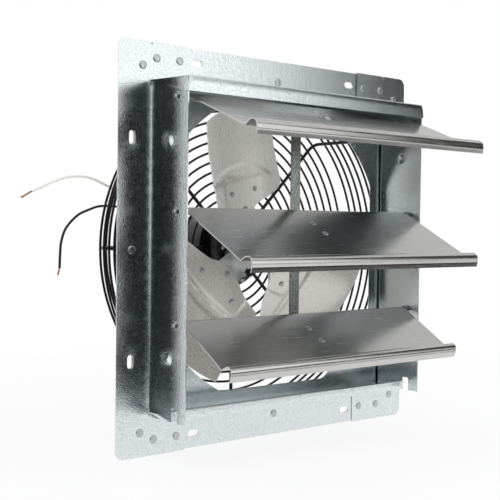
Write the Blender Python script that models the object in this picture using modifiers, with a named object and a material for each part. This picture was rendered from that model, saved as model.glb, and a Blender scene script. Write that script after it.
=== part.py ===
# Shutter exhaust fan: a galvanised wall box with three linked shutters, a three-blade
# fan on a totally enclosed motor, and a black wire guard that carries the motor.
#
# Units are metres. The origin is the centre of the flange's front face. X runs across
# the opening, +Z is up, and +Y points from the shutters to the motor, so air leaves
# towards -Y.

from math import atan2, ceil, cos, pi, radians, sin, sqrt

import bmesh
import bpy
from mathutils import Matrix, Vector

# Sheet, clearances and meshing
sheet = 0.001
gap = 0.0003
overrun = 0.004
merge_distance = 0.00001
bite = 0.0004
smooth_angle = radians(35)
mirrored = (-1, 1)
quarter_turn = pi / 2

# Wall box: the shutters' length sets its width, and its height goes with the width
shutter_half_length = 0.158
shutter_end_room = 0.007
box_half_width = shutter_half_length + shutter_end_room
box_bottom_rise = 0.001
box_top = box_half_width
box_bottom = box_half_width - box_bottom_rise

# Flange round the box
flange_side_width = 0.038
flange_end_width = 0.039
flange_half_width = box_half_width + flange_side_width
flange_half_height = box_top + flange_end_width
flange_corner_radius = 0.009
wall_front = 0.0613
top_wall_front = 0.063
bottom_wall_front = 0.042
top_lip_drop = 0.015
bottom_lip_rise = 0.010
tab_reach = 0.044
tab_inner_edge = box_half_width - tab_reach
strip_end_inset = 0.007
strip_edge_inset = 0.001
relief_width = 0.003
relief_depth = 0.004
edge_notch_back = 0.039
edge_notch_front = 0.0478
edge_notch_height = 0.014

# Slots for the wall screws
slot_length = 0.014
slot_width = 0.007
slot_along_share = 0.6606
slot_along = box_half_width * slot_along_share
slot_row_inset = 0.0155
slot_column_inset = 0.016
slot_row_z = flange_half_height - slot_row_inset
slot_column_x = flange_half_width - slot_column_inset

# Flange rivets
rivet_shank = 0.0016
rivet_head = 0.0034
rivet_head_height = 0.0015
rivet_tail = 0.0026
rivet_tail_height = 0.0012
rivet_hole_clearance = 0.0003
head_dome_share = 0.75
corner_rivet_inset = 0.023
corner_rivet_drop = 0.024
tab_rivet_drop = 0.017
tab_rivet_outer_inset = 0.007
tab_rivet_inner_inset = 0.034
guard_rivet_side_inset = 0.0165
guard_rivet_top_drop = 0.0235
corner_rivet_x = flange_half_width - corner_rivet_inset
corner_rivet_z = flange_half_height - corner_rivet_drop
tab_rivet_z = flange_half_height - tab_rivet_drop
tab_rivet_outer_x = box_half_width - tab_rivet_outer_inset
tab_rivet_inner_x = box_half_width - tab_rivet_inner_inset
guard_rivet_side_x = flange_half_width - guard_rivet_side_inset
guard_rivet_top_z = flange_half_height - guard_rivet_top_drop

# Orifice panel
panel_inset = 0.003
panel_half_width = flange_half_width - panel_inset
panel_half_height = flange_half_height - panel_inset
orifice_margin = 0.016
orifice_bulge = 0.017
orifice_half_side = box_half_width - orifice_margin
orifice_radius = orifice_half_side + orifice_bulge

# Shutters: the sheets hang at unlike angles, as their loose pivots let them
shutter_sheet = 0.0009
pivot_depth = 0.043
top_pivot_drop = 0.018
shutter_pitch_share = 0.6606
shutter_pitch = box_half_width * shutter_pitch_share
top_pivot_height = box_top - top_pivot_drop
pivot_heights = {"top": top_pivot_height, "middle": top_pivot_height - shutter_pitch,
                 "bottom": top_pivot_height - 2 * shutter_pitch}
shutter_angles = {"top": radians(21.5), "middle": radians(28), "bottom": radians(31.5)}
flat_shares = {"top": 0.9128, "middle": 0.9156, "bottom": 0.6743}
shutter_flats = {which: shutter_pitch * share for which, share in flat_shares.items()}
hem_reaches = {"top": 0.022, "middle": 0.0215, "bottom": 0.0185}
hem_rise = 0.0069
hem_shares = [(0.12, 0.50), (0.28, 0.95), (0.50, 1.00), (0.73, 0.86), (0.74, 0.47), (0.85, 0.18),
              (1.00, -0.27)]
rod_radius = 0.0025
rod_clearance = 0.0004
curl_end_angle = radians(-40)
curl_steps = 9

# Pivot bushings in the side walls
bushing_bore_clearance = 0.0003
bushing_wall = 0.0008
bushing_hole_clearance = 0.0003
bushing_head = 0.0043
bushing_head_height = 0.0012
bushing_spacer = 0.0050
rod_end_proud = 0.0008

# Link brackets, tie bar and its pins
pin_back = 0.013
pin_below = 0.009
pin_radius = 0.00175
pin_clearance = 0.00035
pin_head = 0.0030
pin_head_height = 0.0012
bracket_sheet = 0.0012
bracket_left = -0.0149
bracket_width = 0.0110
bracket_back = 0.009
bracket_front = 0.054
bracket_front_depth = 0.0046
bracket_waist = 0.018
bracket_waist_depth = 0.0076
bracket_boss = 0.005
bracket_curl_clearance = 0.0012
bracket_scoop_start = radians(-10)
bracket_scoop_end = radians(-100)
bracket_boss_start = radians(100)
bracket_boss_end = radians(300)
bracket_flange_back = 0.017
bracket_rivet_x = -0.010
bracket_rivets = (0.0245, 0.0464)
bar_left = -0.0114
bar_width = 0.0128
bar_thickness = 0.0015
bar_front_from_pivot = 0.0075
bar_end = 0.007
ear_half_height = 0.006
ear_margin = 0.0045

# Fan wheel: three pitched blades riveted to the front of a twisted spider
fan_plane = 0.0439
blade_angles = [radians(100.7), radians(220.7), radians(340.7)]
blade_pitch = radians(18.56)
blade_sheet = 0.0012
tip_clearance = 0.008
tip_radius = orifice_radius - tip_clearance
rake_start = 0.075
rake_length = 0.080
rake_depth = 0.011
blade_columns = 10
blade_rows = 6
inner_edge = [(-0.0780, 0.0650), (-0.0700, 0.0570), (-0.0550, 0.0520), (-0.0390, 0.0490), (-0.0250, 0.0460),
              (-0.0160, 0.0410), (-0.0030, 0.0380), (0.0150, 0.0416), (0.0330, 0.0486), (0.0545, 0.0515)]
trailing_edge = [(0.0515, 0.0545), (0.0770, 0.0560), (0.0980, 0.0590), (0.1170, 0.0620), (0.1440, 0.0640)]
leading_edge = [(0.0650, -0.0780), (0.0820, -0.0755), (0.1090, -0.0715), (0.1200, -0.0700), (0.1450, -0.0700)]
inner_rivet_radius = 0.044
outer_rivet_radius = 0.0639
outer_rivet_offset = 0.02406
blade_rivet_shank = 0.0022
blade_rivet_head = 0.0043
blade_rivet_head_height = 0.0020

spider_sheet = 0.0015
spider_disc_radius = 0.024
spider_disc_extra = 0.0002
arm_outline = [(0.018, 0.0150), (0.030, 0.0155), (0.040, 0.0165), (0.0455, 0.0250), (0.050, 0.0330),
               (0.056, 0.0360), (0.068, 0.0360), (0.074, 0.0320), (0.077, 0.0260)]
arm_columns = 4
twist_start = 0.022
twist_end = 0.041
hub_radius = 0.012
hub_length = 0.0075
set_screw_radius = 0.0022
set_screw_proud = 0.0006

# Motor
shaft_radius = 0.005
shaft_front_proud = 0.0025
motor_radius = 0.0365
motor_wall = 0.0025
motor_front = 0.056
motor_back = 0.150
bell_length = 0.010
bell_wall = 0.0025
pocket_wall = 0.0025
bearing_radius = 0.011
bearing_width = 0.009
shaft_hole_clearance = 0.001
bearing_seat_depth = 0.002
stator_front = 0.084
stator_back = 0.114
bolt_inset = 0.0053
bolt_circle = motor_radius - bolt_inset
bolt_radius = 0.0016
winding_clearance = 0.0006
winding_outer = bolt_circle - bolt_radius - winding_clearance
winding_depth = 0.0087
winding_inner = winding_outer - winding_depth
winding_length = 0.0097
air_gap = 0.0006
rotor_radius = winding_inner - air_gap
rotor_overhang = 0.002
slot_copper_depth = 0.004
bolt_head = 0.0028
bolt_head_height = 0.0018
lug_reach = 0.009
lug_outer = motor_radius + lug_reach
lug_width = 0.010
lug_thickness = 0.002
screw_from_shell = 0.005
screw_circle = motor_radius + screw_from_shell
screw_radius = 0.002
screw_head = 0.0036
screw_head_height = 0.0022
screw_angle_offset = radians(22.5)
mount_screw_count = 4
through_bolt_count = 4

# Leads: two stiff wires out of one rubber grommet
grommet_y = 0.130
grommet_z = 0.010
grommet_radius = 0.0042
grommet_flange = 0.0065
grommet_flange_width = 0.0022
grommet_depth = 0.0035
lead_diameter = 0.0028
copper_diameter = 0.0016
lead_step_in_diameters = 2.5
route_fine_steps = 24
lead_bevel_steps = 2
wire_bevel_steps = 1
white_lead_offset = 0.0026
black_lead_offset = -0.0026
white_route = [(-0.052, 0.130, 0.0150), (-0.085, 0.131, 0.0400), (-0.112, 0.131, 0.0575),
               (-0.1357, 0.130, 0.0670), (-0.1586, 0.130, 0.0750), (-0.1811, 0.130, 0.0753),
               (-0.2003, 0.130, 0.0697), (-0.2269, 0.130, 0.0579)]
white_tip_end = (-0.2386, 0.130, 0.0511)
black_route = [(-0.052, 0.130, 0.0085), (-0.088, 0.129, 0.0290), (-0.108, 0.129, 0.0400),
               (-0.1219, 0.130, 0.0440), (-0.1440, 0.130, 0.0442), (-0.1583, 0.130, 0.0400),
               (-0.1724, 0.130, 0.0336), (-0.1861, 0.130, 0.0199), (-0.1917, 0.130, 0.0052),
               (-0.1929, 0.130, -0.0071), (-0.1935, 0.130, -0.0230)]
black_tip_end = (-0.1955, 0.130, -0.0303)

# Wire guard
guard_wire = 0.00115
spoke_wire = 0.002
face_ring_plane = 0.0805
mount_plate_width = 0.0095
mount_plate_radius = motor_radius + mount_plate_width
first_ring_from_plate = 0.0095
face_ring_first = mount_plate_radius + first_ring_from_plate
face_ring_pitch = 0.0111
side_ring_from_tip = 0.022
side_ring_radius = tip_radius + side_ring_from_tip
rim_room = 0.012
face_ring_count = 1 + int((side_ring_radius - rim_room - face_ring_first) / face_ring_pitch)
side_ring_back = 0.062
side_ring_pitch = 0.010
side_ring_count = 6
spoke_count = 8
spoke_motor_gap = 0.002
spoke_inner = motor_radius + spoke_motor_gap
spoke_bend = 0.010
spoke_end = 0.0075
rim_ring_angle = radians(50)
weld_depth = 0.0004
mount_plate_thickness = 0.003
clip_sheet = 0.0012
clip_width = 0.014
clip_height = 0.016
clip_side_end = 0.0095
clip_top_end = 0.0155

# Facets
ring_sides = 4
small_ring_steps = 16
middle_ring_steps = 24
large_ring_steps = 32
middle_ring_from = 0.090
large_ring_from = 0.170
round_steps = 24
rivet_steps = 6
hole_steps = 10
arc_steps = 5
slot_steps = 3
spoke_tilt = radians(20)

# Depths along Y that follow from the stack of sheets
side_sheet_back = sheet
strip_front = side_sheet_back + gap
strip_back = strip_front + sheet
panel_front = strip_back + gap
panel_back = panel_front + sheet
wall_inner = box_half_width - sheet
rivet_hole = rivet_shank + rivet_hole_clearance
curl_middle = rod_radius + rod_clearance + shutter_sheet / 2
curl_outer = curl_middle + shutter_sheet / 2
bracket_top = curl_middle - shutter_sheet / 2 - gap
spoke_plane = face_ring_plane - guard_wire - gap - spoke_wire
spoke_run_radius = side_ring_radius - guard_wire - gap - spoke_wire
mount_plate_front = spoke_plane + spoke_wire + gap
mount_plate_back = mount_plate_front + mount_plate_thickness
spider_front = blade_sheet + gap


def start_clean():
    for old in list(bpy.data.objects):
        bpy.data.objects.remove(old, do_unlink=True)


def new_collection(name):
    collection = bpy.data.collections.new(name)
    bpy.context.scene.collection.children.link(collection)
    return collection


def new_material(name, colour, roughness, metallic):
    material = bpy.data.materials.new(name)
    material.use_nodes = True
    shader = material.node_tree.nodes["Principled BSDF"]
    shader.inputs["Base Color"].default_value = (*colour, 1.0)
    shader.inputs["Roughness"].default_value = roughness
    shader.inputs["Metallic"].default_value = metallic
    material.diffuse_color = (*colour, 1.0)
    return material


start_clean()
parts = new_collection("shutter_exhaust_fan")
cutters = new_collection("cutters")

galvanised = ((0.56, 0.59, 0.60), 0.38, 1.0)
bright_zinc = ((0.70, 0.71, 0.72), 0.30, 1.0)
aluminium = ((0.62, 0.62, 0.62), 0.34, 1.0)
blade_aluminium = ((0.74, 0.72, 0.70), 0.32, 1.0)
black_gloss = ((0.012, 0.012, 0.013), 0.22, 0.0)
black_enamel = ((0.010, 0.010, 0.012), 0.18, 0.0)
steel = ((0.55, 0.55, 0.56), 0.30, 1.0)
core_steel = ((0.24, 0.24, 0.25), 0.50, 1.0)
winding_copper = ((0.50, 0.20, 0.08), 0.40, 0.0)
bare_copper = ((0.80, 0.42, 0.25), 0.25, 1.0)
black_rubber = ((0.02, 0.02, 0.02), 0.70, 0.0)
white_plastic = ((0.80, 0.80, 0.78), 0.40, 0.0)
black_plastic = ((0.02, 0.02, 0.02), 0.35, 0.0)


def new_object(name, mesh):
    made = bpy.data.objects.new(name, mesh)
    parts.objects.link(made)
    return made


def bake(made):
    # Replaces an object by a plain closed mesh of what its modifiers or bevel show.
    graph = bpy.context.evaluated_depsgraph_get()
    mesh = bpy.data.meshes.new_from_object(made.evaluated_get(graph))
    shape = bmesh.new()
    shape.from_mesh(mesh)
    bmesh.ops.transform(shape, matrix=made.matrix_world, verts=shape.verts)
    bmesh.ops.remove_doubles(shape, verts=shape.verts, dist=merge_distance)
    bmesh.ops.recalc_face_normals(shape, faces=shape.faces)
    shape.to_mesh(mesh)
    shape.free()
    name = made.name
    bpy.data.objects.remove(made, do_unlink=True)
    return new_object(name, mesh)


def box(low, high):
    low = Vector(low)
    high = Vector(high)
    shape = bmesh.new()
    place = Matrix.Translation((low + high) / 2) @ Matrix.Diagonal((*(high - low), 1))
    bmesh.ops.create_cube(shape, size=1, matrix=place)
    mesh = bpy.data.meshes.new("box")
    shape.to_mesh(mesh)
    shape.free()
    return new_object("box", mesh)


def cylinder(start, end, radius, steps=hole_steps):
    start = Vector(start)
    along = Vector(end) - start
    place = Matrix.Translation(start + along / 2) @ along.to_track_quat("Z", "Y").to_matrix().to_4x4()
    shape = bmesh.new()
    bmesh.ops.create_cone(shape, cap_ends=True, segments=steps, radius1=radius, radius2=radius,
                          depth=along.length, matrix=place)
    mesh = bpy.data.meshes.new("cylinder")
    shape.to_mesh(mesh)
    shape.free()
    return new_object("cylinder", mesh)


def turned(profile, steps, origin=(0, 0, 0), axis=(0, 1, 0), closed=False, spin=0.0):
    # profile holds (radius, distance along the axis) pairs; a closed one makes a ring.
    shape = bmesh.new()
    points = [shape.verts.new((radius, 0, along)) for radius, along in profile]
    pairs = list(zip(points, points[1:]))
    if closed:
        pairs.append((points[-1], points[0]))
    for pair in pairs:
        shape.edges.new(pair)
    mesh = bpy.data.meshes.new("turned")
    shape.to_mesh(mesh)
    shape.free()
    made = new_object("turned", mesh)
    screw = made.modifiers.new("turn", "SCREW")
    screw.steps = steps
    screw.render_steps = steps
    screw.use_merge_vertices = True
    screw.merge_threshold = merge_distance
    screw.use_normal_calculate = True
    turn = Vector(axis).to_track_quat("Z", "Y").to_matrix().to_4x4()
    made.matrix_world = Matrix.Translation(origin) @ turn @ Matrix.Rotation(spin, 4, "Z")
    return bake(made)


def tube(points, diameter, resolution, tilt=0.0):
    curve = bpy.data.curves.new("tube", "CURVE")
    curve.dimensions = "3D"
    curve.bevel_depth = diameter / 2
    curve.bevel_resolution = resolution
    curve.use_fill_caps = True
    spline = curve.splines.new("POLY")
    spline.points.add(len(points) - 1)
    for target, point in zip(spline.points, points):
        target.co = (*point, 1)
        target.tilt = tilt
    return bake(new_object("tube", curve))


def plate(outlines, depth, place):
    # The first outline is the edge and the others are holes, in the plane of place.
    curve = bpy.data.curves.new("plate", "CURVE")
    curve.dimensions = "2D"
    curve.fill_mode = "BOTH"
    curve.extrude = depth / 2
    for outline in outlines:
        spline = curve.splines.new("POLY")
        spline.points.add(len(outline) - 1)
        for target, point in zip(spline.points, outline):
            target.co = (*point, 0, 1)
        spline.use_cyclic_u = True
    made = new_object("plate", curve)
    made.matrix_world = place
    return bake(made)


def wall_plane(front, back):
    # Plate axes X and Z, with its depth along Y from front to back.
    turn = Matrix(((1, 0, 0), (0, 0, -1), (0, 1, 0))).to_4x4()
    return Matrix.Translation((0, (front + back) / 2, 0)) @ turn


def side_plane(left, right):
    # Plate axes Y and Z, with its depth along X from left to right.
    turn = Matrix(((0, 0, 1), (1, 0, 0), (0, 1, 0))).to_4x4()
    return Matrix.Translation(((left + right) / 2, 0, 0)) @ turn


def join(objects):
    # Puts separate closed solids into one object.
    shape = bmesh.new()
    for each in objects:
        shape.from_mesh(each.data)
    mesh = bpy.data.meshes.new("joined")
    shape.to_mesh(mesh)
    shape.free()
    for each in objects:
        bpy.data.objects.remove(each, do_unlink=True)
    return new_object("joined", mesh)


def combine(target, tool, operation):
    boolean = target.modifiers.new(operation.lower(), "BOOLEAN")
    boolean.operation = operation
    boolean.solver = "EXACT"
    boolean.object = tool
    parts.objects.unlink(tool)
    cutters.objects.link(tool)
    tool.name = "tool"
    tool.hide_render = True
    tool.display_type = "WIRE"
    return target


def cut(target, tool):
    return combine(target, tool, "DIFFERENCE")


def unite(target, tool):
    return combine(target, tool, "UNION")


def finish(name, made, look, parent=None):
    made.name = name
    made.data.name = name
    made.data.materials.clear()
    made.data.materials.append(new_material(name, *look))
    made.data.shade_smooth()
    made.data.set_sharp_from_angle(angle=smooth_angle)
    if parent:
        made.parent = parent
        for modifier in made.modifiers:
            if modifier.type == "BOOLEAN":
                modifier.object.parent = parent
    return made


def empty(name, location, tilt=0.0):
    marker = bpy.data.objects.new(name, None)
    parts.objects.link(marker)
    marker.location = location
    marker.rotation_euler = (tilt, 0, 0)
    return marker


def arc(centre, radius, start, end, steps):
    angles = [start + (end - start) * step / steps for step in range(steps + 1)]
    return [(centre[0] + radius * cos(angle), centre[1] + radius * sin(angle)) for angle in angles]


def circle(centre, radius, steps=hole_steps):
    # The first corner points away from the origin, so no two holes share a row of corners.
    start = atan2(centre[1], centre[0])
    return arc(centre, radius, start, start + 2 * pi, steps)[:-1]


def slot(centre, length, width, upright):
    reach = (length - width) / 2
    if upright:
        lower = arc((centre[0], centre[1] - reach), width / 2, pi, 2 * pi, slot_steps)
        upper = arc((centre[0], centre[1] + reach), width / 2, 0, pi, slot_steps)
        return lower + upper
    right = arc((centre[0] + reach, centre[1]), width / 2, -pi / 2, pi / 2, slot_steps)
    left = arc((centre[0] - reach, centre[1]), width / 2, pi / 2, 3 * pi / 2, slot_steps)
    return right + left


def between(table, value):
    # Straight-line reading of a table of (value, result) pairs.
    if value <= table[0][0]:
        return table[0][1]
    for (low, first), (high, second) in zip(table, table[1:]):
        if value <= high:
            return first + (second - first) * (value - low) / (high - low)
    return table[-1][1]


def rivet(front, direction, grip, shank=rivet_shank, head=rivet_head, head_height=rivet_head_height,
          tail=rivet_tail, tail_height=rivet_tail_height):
    # Head before the front face, shank through the grip, upset tail behind it.
    profile = [(0, -gap - head_height), (head * head_dome_share, -gap - head_height * head_dome_share),
               (head, -gap), (shank, -gap), (shank, grip + gap), (tail, grip + gap),
               (tail, grip + gap + tail_height), (0, grip + gap + tail_height)]
    return turned(profile, rivet_steps, front, direction)


def side_slots(side):
    return [slot((side * slot_column_x, end * slot_along), slot_length, slot_width, True) for end in mirrored]


def row_slots(level):
    return [slot((end * slot_along, level * slot_row_z), slot_length, slot_width, False) for end in mirrored]


def corner_rivet_places(side, level):
    return [(side * corner_rivet_x, level * corner_rivet_z), (side * tab_rivet_outer_x, level * tab_rivet_z),
            (side * tab_rivet_inner_x, level * tab_rivet_z)]


def make_side_piece(name, side):
    top_clear = box_top + gap
    bottom_clear = -box_bottom - gap
    wall_top = box_top - sheet - gap
    beside_top_wall = box_half_width + gap + gap
    relief_left = box_half_width - relief_width / 2
    relief_right = box_half_width + relief_width / 2
    corner_x = flange_half_width - flange_corner_radius
    corner_z = flange_half_height - flange_corner_radius
    outline = [(tab_inner_edge, top_clear), (beside_top_wall, top_clear), (beside_top_wall, wall_top),
               (wall_inner, wall_top), (wall_inner, bottom_clear), (tab_inner_edge, bottom_clear),
               (tab_inner_edge, -flange_half_height), (relief_left, -flange_half_height),
               (relief_left, relief_depth - flange_half_height),
               (relief_right, relief_depth - flange_half_height),
               (relief_right, -flange_half_height)]
    outline += arc((corner_x, -corner_z), flange_corner_radius, -pi / 2, 0, arc_steps)
    outline += arc((corner_x, corner_z), flange_corner_radius, 0, pi / 2, arc_steps)
    outline += [(relief_right, flange_half_height), (relief_right, flange_half_height - relief_depth),
                (relief_left, flange_half_height - relief_depth), (relief_left, flange_half_height),
                (tab_inner_edge, flange_half_height)]
    outline = [(side * x, z) for x, z in outline]
    holes = side_slots(side) + [circle((side * guard_rivet_side_x, 0), rivet_hole)]
    for level in mirrored:
        holes += [circle(place, rivet_hole) for place in corner_rivet_places(side, level)]
    piece = plate([outline] + holes, sheet, wall_plane(0, side_sheet_back))
    notch_top = edge_notch_height - box_bottom
    wall = [(side_sheet_back - bite, bottom_clear + bite), (side_sheet_back - bite, wall_top - bite),
            (-wall_front, wall_top - bite), (-wall_front, bottom_clear + bite),
            (-edge_notch_front, bottom_clear + bite), (-edge_notch_front, notch_top),
            (-edge_notch_back, notch_top), (-edge_notch_back, bottom_clear + bite)]
    hole = rod_radius + bushing_bore_clearance + bushing_wall + bushing_hole_clearance
    pivots = [circle((-pivot_depth, height), hole) for height in pivot_heights.values()]
    edges = sorted((side * wall_inner, side * box_half_width))
    unite(piece, plate([wall] + pivots, sheet, side_plane(*edges)))
    return finish(name, piece, galvanised)


def strip_outline(level, wall_edge):
    half = flange_half_width - strip_end_inset
    outer = flange_half_height - strip_edge_inset
    corners = [(-half, wall_edge), (half, wall_edge), (half, outer), (-half, outer)]
    return [(x, level * z) for x, z in corners]


def strip_holes(level):
    holes = row_slots(level) + [circle((0, level * guard_rivet_top_z), rivet_hole)]
    for side in mirrored:
        holes += [circle(place, rivet_hole) for place in corner_rivet_places(side, level)]
    return holes


def make_wall_piece(name, level, height, half_width, front, lip):
    # A wall with a lip turned in at its front edge, and its flange strip behind.
    outlines = [strip_outline(level, height - bite)] + strip_holes(level)
    piece = plate(outlines, sheet, wall_plane(strip_front, strip_back))
    bent = [(strip_back - bite, height), (-front, height), (-front, height - lip),
            (sheet - front, height - lip),
            (sheet - front, height - sheet), (strip_back - bite, height - sheet)]
    bent = [(depth, level * z) for depth, z in bent]
    unite(piece, plate([bent], 2 * half_width, side_plane(-half_width, half_width)))
    return finish(name, piece, galvanised)


def orifice_outline():
    # A circle with its four sides cut straight.
    flat = atan2(sqrt(orifice_radius ** 2 - orifice_half_side ** 2), orifice_half_side)
    outline = []
    for quarter in range(4):
        start = quarter * quarter_turn
        outline += arc((0, 0), orifice_radius, start + flat, start + quarter_turn - flat, arc_steps)
    return outline


def flange_rivets():
    clip_back = panel_back + gap + clip_sheet
    made = []
    for end in mirrored:
        made.append(rivet((end * guard_rivet_side_x, 0, 0), (0, 1, 0), clip_back))
        made.append(rivet((0, strip_front, end * guard_rivet_top_z), (0, 1, 0), clip_back - strip_front))
        for side in mirrored:
            made += [rivet((x, 0, z), (0, 1, 0), panel_back) for x, z in corner_rivet_places(side, end)]
    return made


def make_orifice_panel():
    # The panel holds the flange's rivets, set tight in it, as one piece.
    edge = [(-panel_half_width, -panel_half_height), (panel_half_width, -panel_half_height),
            (panel_half_width, panel_half_height), (-panel_half_width, panel_half_height)]
    holes = [orifice_outline()]
    for end in mirrored:
        holes += side_slots(end) + row_slots(end)
    panel = plate([edge] + holes, sheet, wall_plane(panel_front, panel_back))
    unite(panel, join(flange_rivets()))
    return finish("orifice_panel", panel, galvanised)


def make_pivot_bushings():
    bore = rod_radius + bushing_bore_clearance
    shank = bore + bushing_wall
    spacer_start = shutter_half_length + gap
    spacer_end = wall_inner - gap
    head_start = box_half_width + gap
    head_end = head_start + bushing_head_height
    profile = [(bore, head_end), (bushing_head, head_end), (bushing_head, head_start), (shank, head_start),
               (shank, spacer_end), (bushing_spacer, spacer_end), (bushing_spacer, spacer_start),
               (bore, spacer_start)]
    for end, side in zip(("left", "right"), mirrored):
        for which, height in pivot_heights.items():
            bushing = turned(profile, hole_steps, (0, -pivot_depth, height), (side, 0, 0), closed=True)
            finish(f"{which}_{end}_bushing", bushing, bright_zinc)


def ring(radius, depth, wire):
    steps = small_ring_steps
    if radius > middle_ring_from:
        steps = middle_ring_steps
    if radius > large_ring_from:
        steps = large_ring_steps
    return turned(arc((radius, depth), wire, 0, 2 * pi, ring_sides)[:-1], steps, closed=True)


def spoke_bend_centre():
    return spoke_run_radius - spoke_bend, spoke_plane - spoke_bend


def make_guard():
    # One welded piece: every spoke is fused to the first ring, and the first spoke to
    # every ring. Elsewhere the wires lie a gap apart.
    fused = gap + weld_depth
    rings = [ring(face_ring_first, face_ring_plane - fused, guard_wire)]
    rings += [ring(face_ring_first + face_ring_pitch * index, face_ring_plane, guard_wire)
              for index in range(1, face_ring_count)]
    rings += [ring(side_ring_radius, side_ring_back - side_ring_pitch * index, guard_wire)
              for index in range(side_ring_count)]
    centre = spoke_bend_centre()
    reach = spoke_bend + spoke_wire + gap + guard_wire
    rim = (centre[0] + reach * cos(rim_ring_angle), centre[1] + reach * sin(rim_ring_angle))
    rings.append(ring(rim[0], rim[1], guard_wire))
    spokes = []
    for index in range(spoke_count):
        shift = 0 if index else fused
        inner = spoke_inner if index else mount_plate_radius + gap
        angle = 2 * pi * index / spoke_count
        bend = arc((centre[0] + shift, centre[1] + shift), spoke_bend, pi / 2, 0, arc_steps)
        route = [(inner, spoke_plane + shift)] + bend + [(spoke_run_radius + shift, spoke_end)]
        points = [(radius * cos(angle), depth, radius * sin(angle)) for radius, depth in route]
        spokes.append(tube(points, 2 * spoke_wire, wire_bevel_steps, spoke_tilt))
    guard = join(rings)
    unite(guard, join(spokes))
    return finish("wire_guard", guard, black_gloss)


def make_guard_clips():
    front = panel_back + gap
    inner_face = spoke_run_radius - spoke_wire - gap - clip_sheet
    upright_face = inner_face + clip_sheet
    for index, place in enumerate(("right", "top", "left", "bottom")):
        turn = Matrix.Rotation(-index * quarter_turn, 4, "Y")
        radius = guard_rivet_top_z if index % 2 else guard_rivet_side_x
        outer = radius + (clip_top_end if index % 2 else clip_side_end)
        corner = [(inner_face, front), (outer, front), (outer, front + clip_sheet),
                  (upright_face, front + clip_sheet), (upright_face, front + clip_height),
                  (inner_face, front + clip_height)]
        clip = plate([corner], clip_width, turn)
        centre = turn @ Vector((radius, 0, 0))
        cut(clip, cylinder(centre, centre + Vector((0, front + clip_sheet + overrun, 0)), rivet_hole))
        finish(f"guard_clip_{place}", clip, bright_zinc)


def make_motor_mount():
    profile = [(motor_radius + gap, mount_plate_back), (mount_plate_radius, mount_plate_back),
               (mount_plate_radius, mount_plate_front), (motor_radius + gap, mount_plate_front)]
    made = turned(profile, large_ring_steps, closed=True)
    cut(made, join(screw_holes()))
    finish("motor_mount_plate", made, black_gloss)
    screw_back = mount_plate_back + gap + lug_thickness + gap
    nut_back = mount_plate_front - gap
    profile = [(0, screw_back + screw_head_height), (screw_head, screw_back + screw_head_height),
               (screw_head, screw_back), (screw_radius, screw_back), (screw_radius, nut_back),
               (screw_head, nut_back), (screw_head, nut_back - screw_head_height),
               (0, nut_back - screw_head_height)]
    for index, (x, z) in enumerate(screw_places()):
        finish(f"motor_mount_screw_{index + 1}", turned(profile, rivet_steps, (x, 0, z)), bright_zinc)


def screw_places():
    angles = [screw_angle_offset + 2 * pi * index / mount_screw_count for index in range(mount_screw_count)]
    return [(screw_circle * cos(angle), screw_circle * sin(angle)) for angle in angles]


def screw_holes():
    start = mount_plate_front - overrun
    end = mount_plate_back + overrun + lug_thickness
    radius = screw_radius + rivet_hole_clearance
    return [cylinder((x, start, z), (x, end, z), radius) for x, z in screw_places()]


def make_motor_shell():
    start = motor_front + bell_length + gap
    end = motor_back - bell_length - gap
    inner = motor_radius - motor_wall
    profile = [(inner, end), (motor_radius, end), (motor_radius, start), (inner, start)]
    shell = turned(profile, large_ring_steps, closed=True)
    lugs = []
    for index in range(mount_screw_count):
        turn = Matrix.Rotation(-screw_angle_offset - 2 * pi * index / mount_screw_count, 4, "Y")
        lug_front = mount_plate_back + gap
        lug = box((motor_radius - motor_wall / 2, lug_front, -lug_width / 2),
                  (lug_outer, lug_front + lug_thickness, lug_width / 2))
        lug.data.transform(turn)
        lugs.append(lug)
    unite(shell, join(lugs))
    holes = screw_holes()
    holes.append(cylinder((-motor_radius - overrun, grommet_y, grommet_z),
                          (-motor_radius + motor_wall + overrun, grommet_y, grommet_z), grommet_radius + gap))
    cut(shell, join(holes))
    return finish("motor_shell", shell, black_enamel)


def make_bell(name, face, inward):
    # face is the outer face's depth, and inward is the direction into the motor.
    inner = motor_radius - motor_wall
    pocket = bearing_radius + gap
    hole = shaft_radius + shaft_hole_clearance
    seat = bell_wall + bearing_seat_depth
    depth = seat + bearing_width + gap
    profile = [(hole, 0), (motor_radius, 0), (motor_radius, bell_length), (inner, bell_length),
               (inner, bell_wall), (pocket + pocket_wall, bell_wall), (pocket + pocket_wall, depth),
               (pocket, depth), (pocket, seat),
               (hole, seat)]
    if inward < 0:
        profile = [(0, 0)] + profile[1:-1] + [(0, seat)]
    bell = turned(profile, round_steps, (0, face, 0), (0, inward, 0), closed=inward > 0)
    holes = [cylinder((x, face - overrun, z), (x, face + overrun, z), bolt_radius + gap)
             for x, z in bolt_places()]
    cut(bell, join(holes))
    return finish(name, bell, black_enamel)


def bolt_places():
    angles = [2 * pi * index / through_bolt_count for index in range(through_bolt_count)]
    return [(bolt_circle * cos(angle), bolt_circle * sin(angle)) for angle in angles]


def make_bearing(name, front):
    profile = [(shaft_radius + gap, front + bearing_width), (bearing_radius, front + bearing_width),
               (bearing_radius, front), (shaft_radius + gap, front)]
    return finish(name, turned(profile, round_steps, closed=True), steel)


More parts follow.
